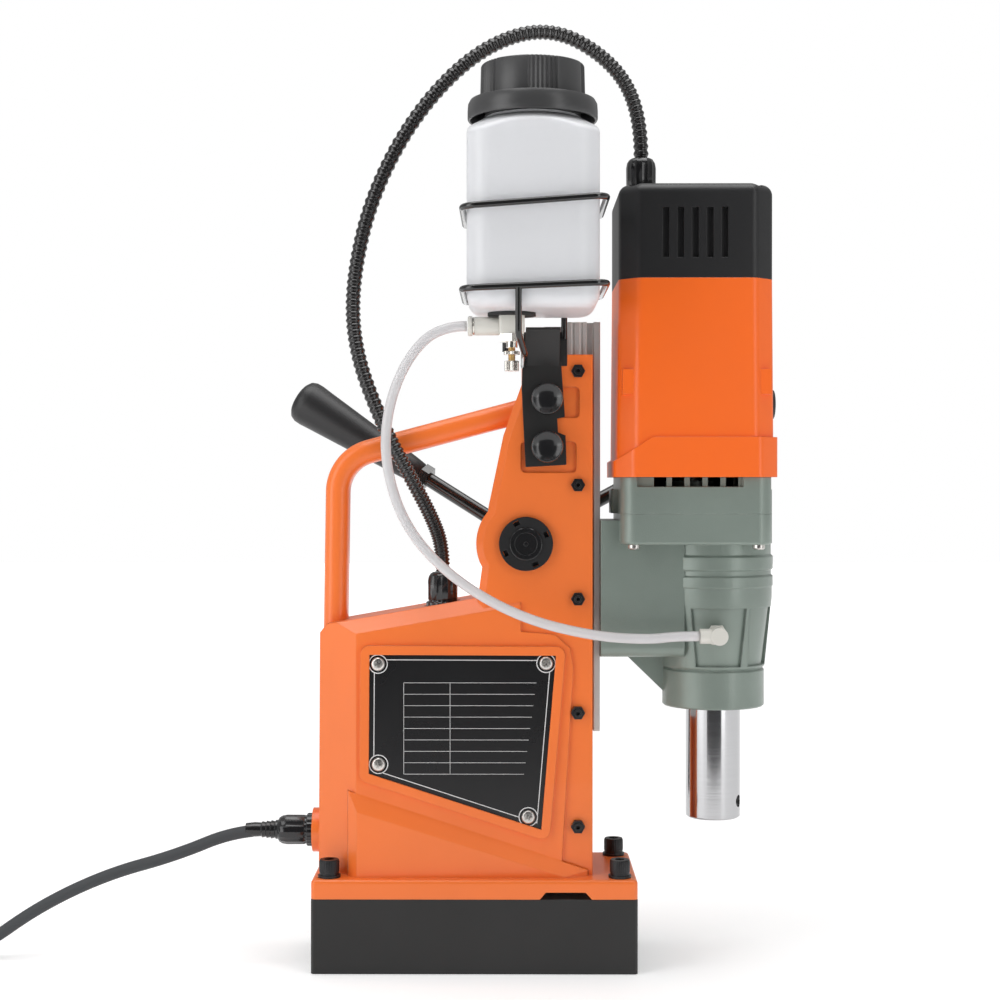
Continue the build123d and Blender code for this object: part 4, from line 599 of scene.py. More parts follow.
def stack(bm: bmesh.types.BMesh, loop: list[bmesh.types.BMEdge], place: Matrix,
          steps: Pairs, close_start: bool = True,
          close_end: bool = True) -> list[bmesh.types.BMEdge]:
    """Pulls an edge loop through steps of scale and height along an axis.

    Args:
        bm: Mesh to add to.
        loop: Edge loop to start from, at scale 1 and height 0.
        place: Its centre and axis.
        steps: Scale and height, in metres, of each step.
        close_start: Whether the start is filled.
        close_end: Whether the end is filled.

    Returns:
        The last edge loop.
    """
    if close_start:
        bmesh.ops.edgeloop_fill(bm, edges=loop)
    edges, scale, height = loop, 1.0, 0.0
    for new_scale, new_height in steps:
        made = bmesh.ops.extrude_edge_only(bm, edges=edges)["geom"]
        verts = [part for part in made if isinstance(part, bmesh.types.BMVert)]
        edges = [part for part in made if isinstance(part, bmesh.types.BMEdge)]
        here = place @ Matrix.Translation((0, 0, height))
        bmesh.ops.scale(bm, verts=verts, vec=(new_scale / scale,) * 3, space=here.inverted())
        shift = place.to_3x3() @ Vector((0, 0, new_height - height))
        bmesh.ops.translate(bm, verts=verts, vec=shift)
        scale, height = new_scale, new_height
    if close_end:
        bmesh.ops.edgeloop_fill(bm, edges=edges)
    return edges


def turned(bm: bmesh.types.BMesh, place: Matrix, radius: float, segments: int,
           steps: Pairs, notch: float = 1.0) -> None:
    """Adds a closed round shape: a ring pulled through steps.

    Args:
        bm: Mesh to add to.
        place: Centre of its foot, and its axis.
        radius: Radius at the foot, in millimetres.
        segments: Corners of the ring.
        steps: Scale and height, in millimetres, of each step.
        notch: Share of the radius that every second corner keeps.
    """
    loop = ring(bm, place, radius * MM, segments, notch=notch)
    stack(bm, loop, place, [(scale, height * MM) for scale, height in steps])


def raised(place: Matrix, height: float) -> Matrix:
    """Moves a place along its own axis by a height in millimetres."""
    return place @ Matrix.Translation((0, 0, height * MM))


def lathe(bm: bmesh.types.BMesh, place: Matrix, profile: Pairs, segments: int = 48) -> None:
    """Spins a profile about an axis.

    Args:
        bm: Mesh to add to.
        place: Centre and axis.
        profile: Radius and height of each point of the profile, in millimetres.
        segments: Steps of the turn.
    """
    verts = [bm.verts.new(place @ Vector((radius * MM, 0, height * MM)))
             for radius, height in profile]
    edges = [bm.edges.new(pair) for pair in zip(verts, verts[1:])]
    bmesh.ops.spin(bm, geom=verts + edges, cent=place.translation, axis=place.col[2].to_3d(),
                   dvec=(0, 0, 0), angle=FULL_TURN, steps=segments, use_merge=True,
                   use_duplicate=False)
    bmesh.ops.remove_doubles(bm, verts=bm.verts, dist=MERGE_DISTANCE)


def slab(bm: bmesh.types.BMesh, corners: Sequence[Point], pull: Point,
         rounding: float = 0.0) -> None:
    """Adds a plate: a flat outline pulled out, its long edges rounded.

    Args:
        bm: Mesh to add to.
        corners: Corners of the outline, in order.
        pull: Direction and length of the pull.
        rounding: Radius of its edges.
    """
    face = bm.faces.new([bm.verts.new(corner) for corner in corners])
    made = bmesh.ops.extrude_face_region(bm, geom=[face])["geom"]
    moved = [part for part in made if isinstance(part, bmesh.types.BMVert)]
    bmesh.ops.translate(bm, verts=moved, vec=pull)
    if rounding:
        bmesh.ops.bevel(bm, geom=edges_of([*moved, *face.verts]), offset=rounding,
                        segments=2, profile=0.5,
                        affect="EDGES", clamp_overlap=True, material=-1)


def cross_ring(bm: bmesh.types.BMesh, place: Matrix, reach: float) -> list[bmesh.types.BMEdge]:
    """Adds the outline of a cross as an edge loop.

    Args:
        bm: Mesh to add to.
        place: Its centre and axis.
        reach: Length of an arm from the centre.

    Returns:
        The edges of the loop.
    """
    made = bmesh.ops.create_grid(bm, x_segments=3, y_segments=3, size=reach, matrix=place)["verts"]
    faces = list(dict.fromkeys(face for vert in made for face in vert.link_faces))
    local = place.inverted()
    corners = [f for f in faces
               if all(abs(c) > 0.4 * reach for c in (local @ f.calc_center_median())[:2])]
    arms = [face for face in faces if face not in corners]
    bmesh.ops.delete(bm, geom=corners, context="FACES")
    bmesh.ops.delete(bm, geom=arms, context="FACES_KEEP_BOUNDARY")
    return edges_of(vert for vert in made if vert.is_valid)


def screw_head(bm: bmesh.types.BMesh, place: Matrix, radius: float, height: float,
               drive: Drive) -> None:
    """Adds a screw head with its recess.

    Args:
        bm: Mesh to add to.
        place: Centre of its underside, and its axis.
        radius: Radius of the head.
        height: Height of the head.
        drive: Shape of the recess.
    """
    top = place @ Matrix.Translation((0, 0, height))
    loop = ring(bm, place, radius, 24)
    if drive is Drive.SOCKET:
        steps = [(1.0, 0.92 * height), (0.93, height), (0.64, height)]
        rim = stack(bm, loop, place, steps, close_end=False)
        mouth, deep, narrow = ring(bm, top, 0.54 * radius, 6), 0.55 * height, 0.98
    else:
        steps = [(1.0, 0.35 * height), (0.93, 0.7 * height), (0.78, 0.92 * height),
                 (0.62, height)]
        rim = stack(bm, loop, place, steps, close_end=False)
        mouth, deep, narrow = cross_ring(bm, top, 0.5 * radius), 0.7 * height, 0.55
    bmesh.ops.bridge_loops(bm, edges=rim + mouth)
    stack(bm, mouth, top, [(narrow, -deep)], close_start=False)


class Shop:
    """Turns meshes into named pieces, and dresses and copies the CAD nodes."""

    def __init__(self, frame: dict) -> None:
        """Keeps the loaded frame.
        """
        self.nodes: dict[str, bpy.types.Object] = frame["nodes"]
        record = frame["record"]
        self.slot_of = {part["node"]: part["material_slot"] for part in record["subparts"]}

    def piece(self, name: str, bm: bmesh.types.BMesh, finish: Finish, body: Body,
              stands_for: Sequence[str] = (), slot: str = "") -> bpy.types.Object:
        """Makes a piece of a finished mesh.

        Args:
            name: Name of the piece.
            bm: Its mesh, which is freed.
            finish: Its finish.
            body: The body it rides on.
            stands_for: CAD nodes that it replaces.
            slot: The record's slot, if it isn't that of the first replaced node; it is not used.

        Returns:
            The new object.
        """
        bmesh.ops.recalc_face_normals(bm, faces=bm.faces)
        self.smooth(bm)
        mesh = bpy.data.meshes.new(name)
        bm.to_mesh(mesh)
        bm.free()
        return self.place(name, mesh, finish, body, stands_for, slot)

    def place(self, name: str, mesh: bpy.types.Mesh, finish: Finish, body: Body | None,
              stands_for: Sequence[str] = (), slot: str = "") -> bpy.types.Object:
        """Puts a mesh in the scene as a piece.

        Args:
            name: Name of the piece.
            mesh: Its mesh.
            finish: Its finish.
            body: The body it rides on, or None if it rides on none.
            stands_for: CAD nodes that it replaces.
            slot: The record's slot, which is not used.

        Returns:
            The new object.
        """
        made = bpy.data.objects.new(name, mesh)
        bpy.context.scene.collection.objects.link(made)
        mesh.materials.clear()
        mesh.materials.append(finish.build())
        if body is not None:
            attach(made, body.value)
        if stands_for:
            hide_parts(*stands_for)
            slot = slot or self.slot_of[stands_for[0]]
        log.info("piece %s: %d faces", name, len(mesh.polygons))
        return made

    @staticmethod
    def smooth(bm: bmesh.types.BMesh) -> None:
        """Shades a mesh smooth, apart from its sharp edges."""
        for face in bm.faces:
            face.smooth = True
        for edge in bm.edges:
            flat = edge.is_manifold and edge.calc_face_angle(0.0) < SHARP_ANGLE
            edge.smooth = bool(flat)

    def dress(self, finish: Finish, *nodes: str) -> None:
        """Gives CAD nodes a finish.

        Args:
            finish: The finish.
            nodes: Names of the nodes.
        """
        for node in nodes:
            mesh = self.nodes[node].data
            mesh.materials.clear()
            mesh.materials.append(finish.build())

    def soften(self, node: str, finish: Finish, body: Body, width: float,
               segments: int = 3) -> bpy.types.Object:
        """Stands a copy of a CAD node in its place, with its edges rounded.

        Args:
            node: Name of the node.
            finish: Its finish.
            body: The body it rides on.
            width: Width of the rounding, in metres.
            segments: Segments of the rounding.

        Returns:
            The new object.
        """
        bm = bmesh.new()
        bm.from_mesh(self.nodes[node].data)
        bmesh.ops.remove_doubles(bm, verts=bm.verts, dist=2e-6)
        bmesh.ops.dissolve_limit(bm, angle_limit=math.radians(1.0), verts=bm.verts,
                                 edges=bm.edges, use_dissolve_boundaries=False)
        self.smooth(bm)
        mesh = bpy.data.meshes.new(node + "_soft")
        bm.to_mesh(mesh)
        bm.free()
        made = self.place(node + "_soft", mesh, finish, body, (node,))
        rounding = made.modifiers.new("rounding", "BEVEL")
        rounding.width = width
        rounding.segments = segments
        rounding.limit_method = "ANGLE"
        rounding.angle_limit = SHARP_ANGLE
        rounding.harden_normals = True
        return made


# ------------------------------------------------------------------ cords
def millimetres(points: Iterable[Point]) -> list[Vector]:
    """Turns points in millimetres into points in metres."""
    return [Vector(point) * MM for point in points]


def nurbs(name: str, points: Sequence[Vector], radius: float = 0.0,
          resolution: int = 12) -> bpy.types.Object:
    """Makes a curve of one smooth NURBS spline.

    Args:
        name: Name of the object.
        points: Its control points.
        radius: Radius of the round section, or 0 for a bare line.
        resolution: Steps between two control points.

    Returns:
        The curve's object, not yet in the scene.
    """
    data = bpy.data.curves.new(name, "CURVE")
    data.dimensions = "3D"
    data.resolution_u = resolution
    data.bevel_depth = radius
    data.bevel_resolution = 5
    data.use_fill_caps = True
    spline = data.splines.new("NURBS")
    spline.points.add(len(points) - 1)
    for control, point in zip(spline.points, points):
        control.co = (*point, 1.0)
    spline.order_u = 3
    spline.use_endpoint_u = True
    return bpy.data.objects.new(name, data)


def line_of(points: Sequence[Vector], spacing: float) -> list[Vector]:
    """Reads evenly spaced points from the NURBS spline of a route.

    Args:
        points: Control points of the route.
        spacing: Distance between two of the points.

    Returns:
        The points, from end to end.
    """
    bare = nurbs("bare_line", points, resolution=64)
    bpy.context.scene.collection.objects.link(bare)
    mesh = bpy.data.meshes.new_from_object(bare)
    dense = [vert.co.copy() for vert in mesh.vertices]
    bpy.data.objects.remove(bare)
    bpy.data.meshes.remove(mesh)
    found, travelled = [dense[0]], 0.0
    for before, after in zip(dense, dense[1:]):
        travelled += (after - before).length
        if travelled >= spacing * len(found):
            found.append(after)
    return [*found[:-1], dense[-1]]


def tube_mesh(name: str, line: Sequence[Vector], radius: float, shares: Sequence[float],
              roundness: int) -> bpy.types.Mesh:
    """Makes a round tube along a line, its radius repeating a short pattern.

    Args:
        name: Name of the mesh.
        line: Points along the middle.
        radius: Outer radius.
        shares: Share of the radius at each point, repeated along the tube.
        roundness: Resolution of the section.

    Returns:
        The mesh.
    """
    data = bpy.data.curves.new(name, "CURVE")
    data.dimensions = "3D"
    data.bevel_depth = radius
    data.bevel_resolution = roundness
    data.use_fill_caps = True
    spline = data.splines.new("POLY")
    spline.points.add(len(line) - 1)
    for number, (control, point) in enumerate(zip(spline.points, line)):
        control.co = (*point, 1.0)
        control.radius = shares[number % len(shares)]
    made = bpy.data.objects.new(name, data)
    bpy.context.scene.collection.objects.link(made)
    mesh = bpy.data.meshes.new_from_object(made)
    bpy.data.objects.remove(made)
    bm = bmesh.new()
    bm.from_mesh(mesh)
    bmesh.ops.remove_doubles(bm, verts=bm.verts, dist=MERGE_DISTANCE)
    for face in bm.faces:
        face.smooth = True
    bm.to_mesh(mesh)
    bm.free()
    return mesh


CONDUIT_ROUTE = millimetres([
    (110, 0, 531), (110, 0, 560), (92, -3, 594), (50, -4, 618), (4, -5, 604), (-38, -7, 562),
    (-68, -10, 506), (-81, -13, 448), (-79, -18, 402), (-60, -22, 352), (-41, -21, 317),
    (-28, -14.5, 292), (-21.5, -10, 273), (-21.5, -10, 257),
])
HOSE_ROUTE = millimetres([
    (-4, -75, 412.8), (-22, -75, 412.8), (-42, -75, 392), (-54, -75, 360), (-55, -75, 325),
    (-42, -73, 286), (-12, -70, 254), (30, -65, 230), (76, -57, 218), (112, -51, 215.5),
    (128, -50, 217.5), (144, -50, 217.5),
])
CORD_ROUTE = millimetres([
    (-132, 0, 84.3), (-158, 0, 84.3), (-200, -1, 67), (-245, -3, 55), (-290, -6, 34),
    (-328, -9, 7), (-352, -10, 4.2),
])


@dataclass
class Cords:
    """The conduit to the motor, the coolant hose and the power cord with its coil.

    Attributes:
        conduit_diameter: Outer diameter of the corrugated conduit.
        rib_pitch: Distance between two of its ribs.
        rib: Share of the radius at each step from one rib to the next.
        hose_diameter: Outer diameter of the hose.
        cord_diameter: Diameter of the power cord.
        coil_centre: Middle of the coil on the floor.
        coil_start: Angle at which the cord joins the coil, in degrees.
        turns: Radius and height of each turn, in millimetres.
        points_per_turn: Control points of a turn.
        drift: Share of a turn after which the cord moves over to the next turn's place.
        snugness: Share of the turns' radii that the wound coil keeps.
        tie_middle: Middle of the tie, from the coil's middle.
        plug_foot: End of the plug's tail, from the coil's middle.
    """

    shop: Shop
    conduit_diameter: float = 10 * MM
    rib_pitch: float = 2.9 * MM
    rib: tuple[float, ...] = (0.84, 0.84, 0.93, 1.0, 1.0, 0.93)
    hose_diameter: float = 6.35 * MM
    cord_diameter: float = 8 * MM
    coil_centre: tuple[float, float] = (-392 * MM, 45 * MM)
    coil_start: float = -80.0
    turns: tuple[tuple[float, float], ...] = (
        (56, 4.1), (48, 4.1), (40, 4.1), (40, 12.2), (48, 12.2), (56, 12.2), (52, 20.3),
        (43, 20.3))
    points_per_turn: int = 16
    drift: float = 0.75
    snugness: float = 0.985
    tie_middle: Point = (0, 48 * MM, 12.2 * MM)
    plug_foot: Point = (-38 * MM, -15 * MM, 37 * MM)

    def conduit(self) -> None:
        """Makes the corrugated conduit, which runs in a curve between the frame and the head."""
        line = line_of(CONDUIT_ROUTE, self.rib_pitch / len(self.rib))
        mesh = tube_mesh("conduit_ribbed", line, self.conduit_diameter / 2, self.rib, 5)
        made = self.shop.place("conduit_ribbed", mesh, CONDUIT_GLOSS, None, ("conduit",))
        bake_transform(made)

    def hose(self) -> None:
        """Makes the coolant hose, which runs in a curve between the frame and the head."""
        line = line_of(HOSE_ROUTE, 2.0 * MM)
        mesh = tube_mesh("coolant_hose_milky", line, self.hose_diameter / 2, (1.0,), 7)
        made = self.shop.place("coolant_hose_milky", mesh, HOSE_MILK, None, ("coolant_hose",))
        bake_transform(made)

    def coil_points(self) -> list[Vector]:
        """Works out the control points of the coil's turns.

        Returns:
            The points, clockwise from where the cord joins the coil.
        """
        found = []
        pairs = zip(self.turns, self.turns[1:] + self.turns[-1:])
        for turn, ((radius, height), (next_radius, next_height)) in enumerate(pairs):
            for step in range(self.points_per_turn):
                share = step / self.points_per_turn
                ease = max(0.0, (share - self.drift) / (1 - self.drift))
                angle = math.radians(self.coil_start - 360 * (turn + share))
                reach = (radius + (next_radius - radius) * ease) * self.snugness * MM
                lift = (height + (next_height - height) * ease) * MM
                found.append(Vector((self.coil_centre[0] + reach * math.cos(angle),
                                     self.coil_centre[1] + reach * math.sin(angle), lift)))
        return found

    def power_cord(self) -> None:
        """Makes the power cord, coiled, up to its plug, with the tie round the coil."""
        across, along = self.coil_centre
        tail = [Vector((across + x * MM, along + y * MM, z * MM)) for x, y, z in (
            (7.5, -42.6, 21.5), (-9, -44.6, 25), (-24, -39, 30), (-34.5, -27.5, 35),
            (-38, -12, 37))]
        points = CORD_ROUTE + self.coil_points() + tail
        made = nurbs("power_cord_flex", points, self.cord_diameter / 2)
        bpy.context.scene.collection.objects.link(made)
        made.data.materials.append(CORD_RUBBER.build())
        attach(made, Body.FRAME.value)
        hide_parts("power_cord", "power_cord_coil")
        tie = self.tie()
        plug = self.plug()

    def tie(self) -> bpy.types.Object:
        """Makes the strap that holds the coil together."""
        bm = bmesh.new()
        middle = Vector((*self.coil_centre, 0)) + Vector(self.tie_middle)
        place = raised(frame_of(middle, (1, 0, 0)), -5)
        outer = rounded_ring(bm, place, 27.4 * MM, 27.4 * MM, 8 * MM)
        stack(bm, outer, place, [(1.0, 10 * MM), (0.93, 10 * MM), (0.93, 0.0), (1.0, 0.0)],
              close_start=False, close_end=False)
        bmesh.ops.remove_doubles(bm, verts=bm.verts, dist=MERGE_DISTANCE)
        return self.shop.piece("coil_tie", bm, SHEET_BLACK, Body.FRAME, slot="cord_rubber")

    def plug(self) -> bpy.types.Object:
        """Makes the moulded plug body, with finger grips and a ribbed tail."""
        bm = bmesh.new()
        place = frame_of(Vector((*self.coil_centre, 0)) + Vector(self.plug_foot), (0, 1, 0))
        ribs = []
        for rib in range(5):
            base, share = rib * 4.2, 1.0 + 0.10 * rib
            ribs += [(share, base + 0.4), (share, base + 2.6), (share * 0.84, base + 2.9),
                     (share * 0.86, base + 4.0)]
        turned(bm, place, 5.6, 24, ribs)
        head = raised(place, 21)
        outline = rounded_ring(bm, head, 26 * MM, 22 * MM, 8 * MM)
        stack(bm, outline, head, [(1.12, 2 * MM), (1.13, 8 * MM), (1.0, 14 * MM),
                                  (0.98, 20 * MM), (1.10, 27 * MM), (1.14, 33 * MM),
                                  (1.08, 35 * MM)])
        return self.shop.piece("plug_moulding", bm, SEAL_RUBBER, Body.FRAME, ("plug_body",))

    def build(self) -> None:
        """Makes the three cords and dresses the plug's blades."""
        self.conduit()
        self.hose()
        self.power_cord()
        self.shop.dress(NICKEL, "plug_blades")


# ------------------------------------------------------------------ sub-assemblies
@dataclass
class Glands:
    """The three cable glands and the cord's strain relief.

    Attributes:
        radius: Radius of the clamping nut, in millimetres.
        thread: Radius of the threaded end, in millimetres.
        flange: Radius of the knurled flange, in millimetres.
        relief: Radius of the strain relief at its foot, in millimetres.
    """

    shop: Shop
    radius: float = 9.8
    thread: float = 7.9
    flange: float = 10.9
    relief: float = 6.4

    def one(self, name: str, node: str, body: Body, foot: Point, axis: Point,
            sleeve: bool = False) -> None:
        """Makes one gland.

        Args:
            name: Name of the piece.
            node: CAD node that it replaces.
            body: The body it rides on.
            foot: Middle of its seat.
            axis: Direction that it stands in.
            sleeve: Whether a tapered strain relief leaves it.
        """
        bm = bmesh.new()
        place = frame_of(Vector(foot) * MM, axis)
        turned(bm, raised(place, -8), self.thread, 24, [(1.0, 8)])
        turned(bm, place, self.flange, 48, [(1.0, 3.6), (0.95, 4.2), (0.86, 4.2), (0.86, 5.4)],
               notch=0.955)
        turned(bm, raised(place, 5.2), 0.95 * self.radius, 32,
               [(1.05, 0.8), (1.06, 12), (1.0, 15.2), (0.86, 17.4), (0.68, 18.4)], notch=0.95)
        if sleeve:
            turned(bm, raised(place, 23), self.relief, 24,
                   [(0.98, 2), (0.86, 2.6), (0.95, 5), (0.82, 5.6), (0.90, 8), (0.76, 8.6),
                    (0.84, 11), (0.72, 11.8), (0.76, 16), (0.66, 22)])
        self.shop.piece(name, bm, BLACK_GLOSS, body, (node,))

    def build(self) -> None:
        """Makes the glands."""
        self.one("motor_gland", "motor_conduit_gland", Body.HEAD, (110, 0, 507), (0, 0, 1))
        self.one("frame_gland", "frame_conduit_gland", Body.FRAME, (-21.5, -10, 233), (0, 0, 1))
        self.one("cord_gland_relief", "cord_gland", Body.FRAME, (-108, 0, 84.3), (-1, 0, 0),
                 sleeve=True)


@dataclass
class Foot:
    """The magnet, its coil and the four screws that hold the frame to it.

    Attributes:
        bolt_x: Distance of the screws from the middle, along the foot.
        bolt_y: Distance of the screws from the middle, across the foot.
        thread_end: Height of the screws' lower ends.
        washer_top: Height of the heads' undersides.
        head_height: Height of a head.
    """

    shop: Shop
    bolt_x: float = 94 * MM
    bolt_y: float = 35 * MM
    thread_end: float = 37 * MM
    washer_top: float = 64 * MM
    head_height: float = 8 * MM

    def build(self) -> None:
        """Dresses the magnet and makes the screws' heads with their knurled sides."""
        self.shop.soften("magnet_housing", MAGNET_PAINT, Body.FRAME, 0.9 * MM)
        self.shop.dress(COIL_RESIN, "potted_coil")
        self.shop.dress(BLACK_OXIDE, "base_washers")
        bm = bmesh.new()
        for x in (-self.bolt_x, self.bolt_x):
            for y in (-self.bolt_y, self.bolt_y):
                turned(bm, Matrix.Translation((x, y, self.thread_end)), 4, 24, [(1.0, 27.2)])
                head = Matrix.Translation((x, y, self.washer_top))
                side = ring(bm, head, 6.5 * MM, 60, notch=0.965)
                rim = stack(bm, side, head,
                            [(1.0, 6.6 * MM), (0.965, 7.2 * MM), (0.92, self.head_height),
                             (0.62, self.head_height)], close_end=False)
                top = head @ Matrix.Translation((0, 0, self.head_height))
                mouth = ring(bm, top, 3.45 * MM, 6)
                bmesh.ops.bridge_loops(bm, edges=rim + mouth)
                stack(bm, mouth, top, [(0.98, -4.5 * MM)], close_start=False)
        self.shop.piece("base_screws", bm, BLACK_OXIDE, Body.FRAME, ("base_bolts",))


@dataclass
class Frame:
    """The cast frame with its plate, panel, switches and gib screws.

    Attributes:
        plate: Corners of the name plate, in millimetres, as x and z.
        screws: Places of its screws.
        face: How far its face stands out, in millimetres.
        table_left: Left edge of the ruled table, in millimetres, like the next four.
        table_split: Place of its second upright line.
        table_right: Right end of its top line, each next line being 1 mm shorter.
        table_top: Height of its top line.
        table_stroke: Thickness of a line.
        row_pitch: Distance between two lines.
        rows: How many lines it has.
    """

    shop: Shop
    plate: tuple[tuple[float, float], ...] = (
        (-68, 204), (52.7, 203.5), (43.2, 90.8), (-68.5, 127))
    screws: tuple[tuple[float, float], ...] = (
        (-62.5, 198), (46.3, 198.6), (-62.2, 133), (34.8, 99))
    face: float = 33.2
    table_left: float = -46
    table_split: float = -16
    table_right: float = 40
    table_top: float = 186
    table_stroke: float = 0.28
    row_pitch: float = 7.4
    rows: int = 9

    def plate_lines(self) -> None:
        """Makes the white border, the rings round the screws and the blank ruled fields."""
        bm = bmesh.new()
        height = -(self.face + 0.03) * MM
        outline = [bm.verts.new((x * MM, height, z * MM)) for x, z in self.plate]
        area = bm.faces.new(outline)
        bm.normal_update()
        bmesh.ops.inset_region(bm, faces=[area], thickness=2.9 * MM, depth=0.0,
                               use_even_offset=True, use_boundary=True)
        border = bmesh.ops.inset_region(bm, faces=[area], thickness=0.55 * MM, depth=0.0,
                                        use_even_offset=True, use_boundary=True)["faces"]
        unwanted = [face for face in bm.faces if face not in border]
        bmesh.ops.delete(bm, geom=unwanted, context="FACES")
        left, top, stroke = self.table_left, self.table_top, self.table_stroke
        rules = [(left, self.table_right - row, top - self.row_pitch * row,
                  top - self.row_pitch * row - stroke) for row in range(self.rows)]
        low = rules[-1][3]
        rules += [(x, x + stroke, top, low) for x in (left, self.table_split)]
        for start, end, upper, lower in rules:
            corners = [(start, upper), (end, upper), (end, lower), (start, lower)]
            bm.faces.new([bm.verts.new((x * MM, height, z * MM)) for x, z in corners])
        for x, z in self.screws:
            place = frame_of((x * MM, -(self.face + 0.07) * MM, z * MM), (0, -1, 0))
            stack(bm, ring(bm, place, 6.3 * MM, 48), place, [(0.9, 0.0)], close_start=False,
                  close_end=False)
        made = bmesh.ops.extrude_face_region(bm, geom=list(bm.faces))["geom"]
        bmesh.ops.translate(bm, verts=[v for v in made if isinstance(v, bmesh.types.BMVert)],
                            vec=(0, -0.05 * MM, 0))
        self.shop.piece("plate_border", bm, PLATE_INK, Body.FRAME, slot="plate_black")
        bm = bmesh.new()
        for x, z in self.screws:
            place = frame_of((x * MM, -(self.face + 0.01) * MM, z * MM), (0, -1, 0))
            turned(bm, place, 5.7, 48, [(1.0, 0.09)])
        self.shop.piece("plate_screw_seats", bm, PLATE_BLACK, Body.FRAME, slot="plate_black")

    def plate_screws(self) -> None:
        """Makes the four cross-recess screws of the plate."""
        bm = bmesh.new()
        for number, (x, z) in enumerate(self.screws):
            place = frame_of((x * MM, -(self.face + 0.05) * MM, z * MM), (0, -1, 0))
            place = place @ Matrix.Rotation(math.radians(17 + 31 * number), 4, "Z")
            screw_head(bm, place, 4.5 * MM, 2.3 * MM, Drive.CROSS)
        self.shop.piece("plate_screws", bm, ZINC, Body.FRAME, ("name_plate_screws",))

    def build(self) -> None:
        """Dresses the casting and makes its details."""
        self.shop.soften("frame_casting", ORANGE_PAINT, Body.FRAME, 1.1 * MM)
        self.shop.soften("name_plate", PLATE_BLACK, Body.FRAME, 0.25 * MM, 2)
        self.plate_lines()
        self.plate_screws()
        self.shop.soften("control_panel", PANEL_BLACK, Body.FRAME, 0.5 * MM, 2)
        self.shop.dress(SWITCH_RED, "magnet_switch", "stop_button")
        self.shop.dress(SWITCH_GREEN, "start_button")
        self.shop.dress(BLACK_OXIDE, "gib_screws", "gib_nuts")
        self.shop.dress(BRASS, "gib_strip")


@dataclass
class Feed:
    """The slide with its rack, and the capstan with its pinion and three levers.

    Attributes:
        root: Where the levers' axes meet.
        angles: Direction of each lever in the plane of the capstan, in degrees.
        tilt: How far the levers lean outwards, in degrees.
        grip: Radius of a grip at each distance from the root, in millimetres.
    """

    shop: Shop
    root: Point = (33.3 * MM, 50 * MM, 275.8 * MM)
    angles: tuple[float, ...] = (148.0, 28.0, 268.0)
    tilt: float = 11.6
    grip: tuple[tuple[float, float], ...] = (
        (0.0, 88.0), (7.2, 88.0), (8.1, 89.2), (9.0, 97.0), (12.4, 138.0), (15.3, 176.0),
        (15.9, 183.0), (15.8, 187.2), (14.6, 190.2), (12.2, 192.0), (8.0, 192.9), (0.0, 193.0))

    def grips(self) -> None:
        """Makes the three tapered grips with their round ends."""
        bm = bmesh.new()
        tilt = math.radians(self.tilt)
        for angle in map(math.radians, self.angles):
            along = (math.cos(tilt) * math.cos(angle), math.sin(tilt),
                     math.cos(tilt) * math.sin(angle))
            lathe(bm, frame_of(self.root, along), self.grip, 64)
        self.shop.piece("lever_grips_round", bm, GRIP_BLACK, Body.FEED, ("lever_grips",))

    def end_cap(self) -> None:
        """Makes the black disc on the near end of the pinion's shaft, with its slots."""
        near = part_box("pinion_shaft")[0][1]
        bm = bmesh.new()
        seat = frame_of((self.root[0], near + 0.6 * MM, self.root[2]), (0, -1, 0))
        lathe(bm, seat, [(0, 0), (10.6, 0), (10.6, 0.55), (10.1, 0.95), (7.4, 0.95),
                         (7.2, 0.65), (1.5, 0.65), (1.3, 0.95), (0, 1.0)], 72)
        self.shop.piece("shaft_end_cap", bm, BLACK_GLOSS, Body.FEED, slot="hub_black")

    def build(self) -> None:
        """Dresses the feed's pieces and makes the grips and the end cap."""
        self.shop.soften("slide_rail", RAIL_METAL, Body.HEAD, 0.4 * MM, 2)
        self.shop.dress(GEAR_STEEL, "feed_rack", "pinion_shaft")
        self.shop.dress(BLACK_MOULDED, "shaft_bushes", "lever_hub")
        self.shop.dress(WIRE_GLOSS, "lever_rods")
        self.grips()
        self.end_cap()


@dataclass
class Head:
    """The motor, its gear case and the spindle."""

    shop: Shop

    def build(self) -> None:
        """Dresses the head's pieces and adds a black sheet of painted shade behind the gear case
        cover's slots.
        """
        self.shop.soften("gear_case", HAMMERED_GREY, Body.HEAD, 1.0 * MM)
        self.shop.soften("gear_case_cover", HAMMERED_GREY, Body.HEAD, 0.8 * MM)
        self.shop.soften("motor_housing", ORANGE_SHELL, Body.HEAD, 0.6 * MM)
        self.shop.soften("motor_cap", BLACK_MOULDED, Body.HEAD, 0.6 * MM)
        self.shop.dress(ZINC, "gear_case_screws", "motor_cap_screws")
        self.shop.dress(LAMINATION, "motor_stator", "armature")
        self.shop.dress(BRASS, "brush_holders")
        self.shop.dress(GEAR_STEEL, "motor_bearings", "gear_shaft_1", "gear_shaft_2",
                        "spindle_gear", "spindle_bearings")
        self.shop.dress(COPPER, "commutator")
        self.shop.dress(BLACK_MOULDED, "cooling_fan", "speed_dial")
        self.shop.dress(CHROME, "spindle")
        # Painted shade: a thin black sheet inside the head, behind the slots of the gear case
        # cover, which the real tool lacks; it makes the view through the slots dark.
        bm = bmesh.new()
        corners = millimetres([(106, 31, 310), (170, 31, 310), (170, 31, 320), (106, 31, 320)])
        slab(bm, corners, (0, 0.8 * MM, 0), 0.2 * MM)
        self.shop.piece("slot_shade_sheet", bm, BLACK_MOULDED, Body.HEAD, slot="fan_plastic")
        self.shop.dress(BLACK_OXIDE, "arbor_set_screws")
        self.shop.dress(WHITE_FITTING, "spindle_hose_fitting")


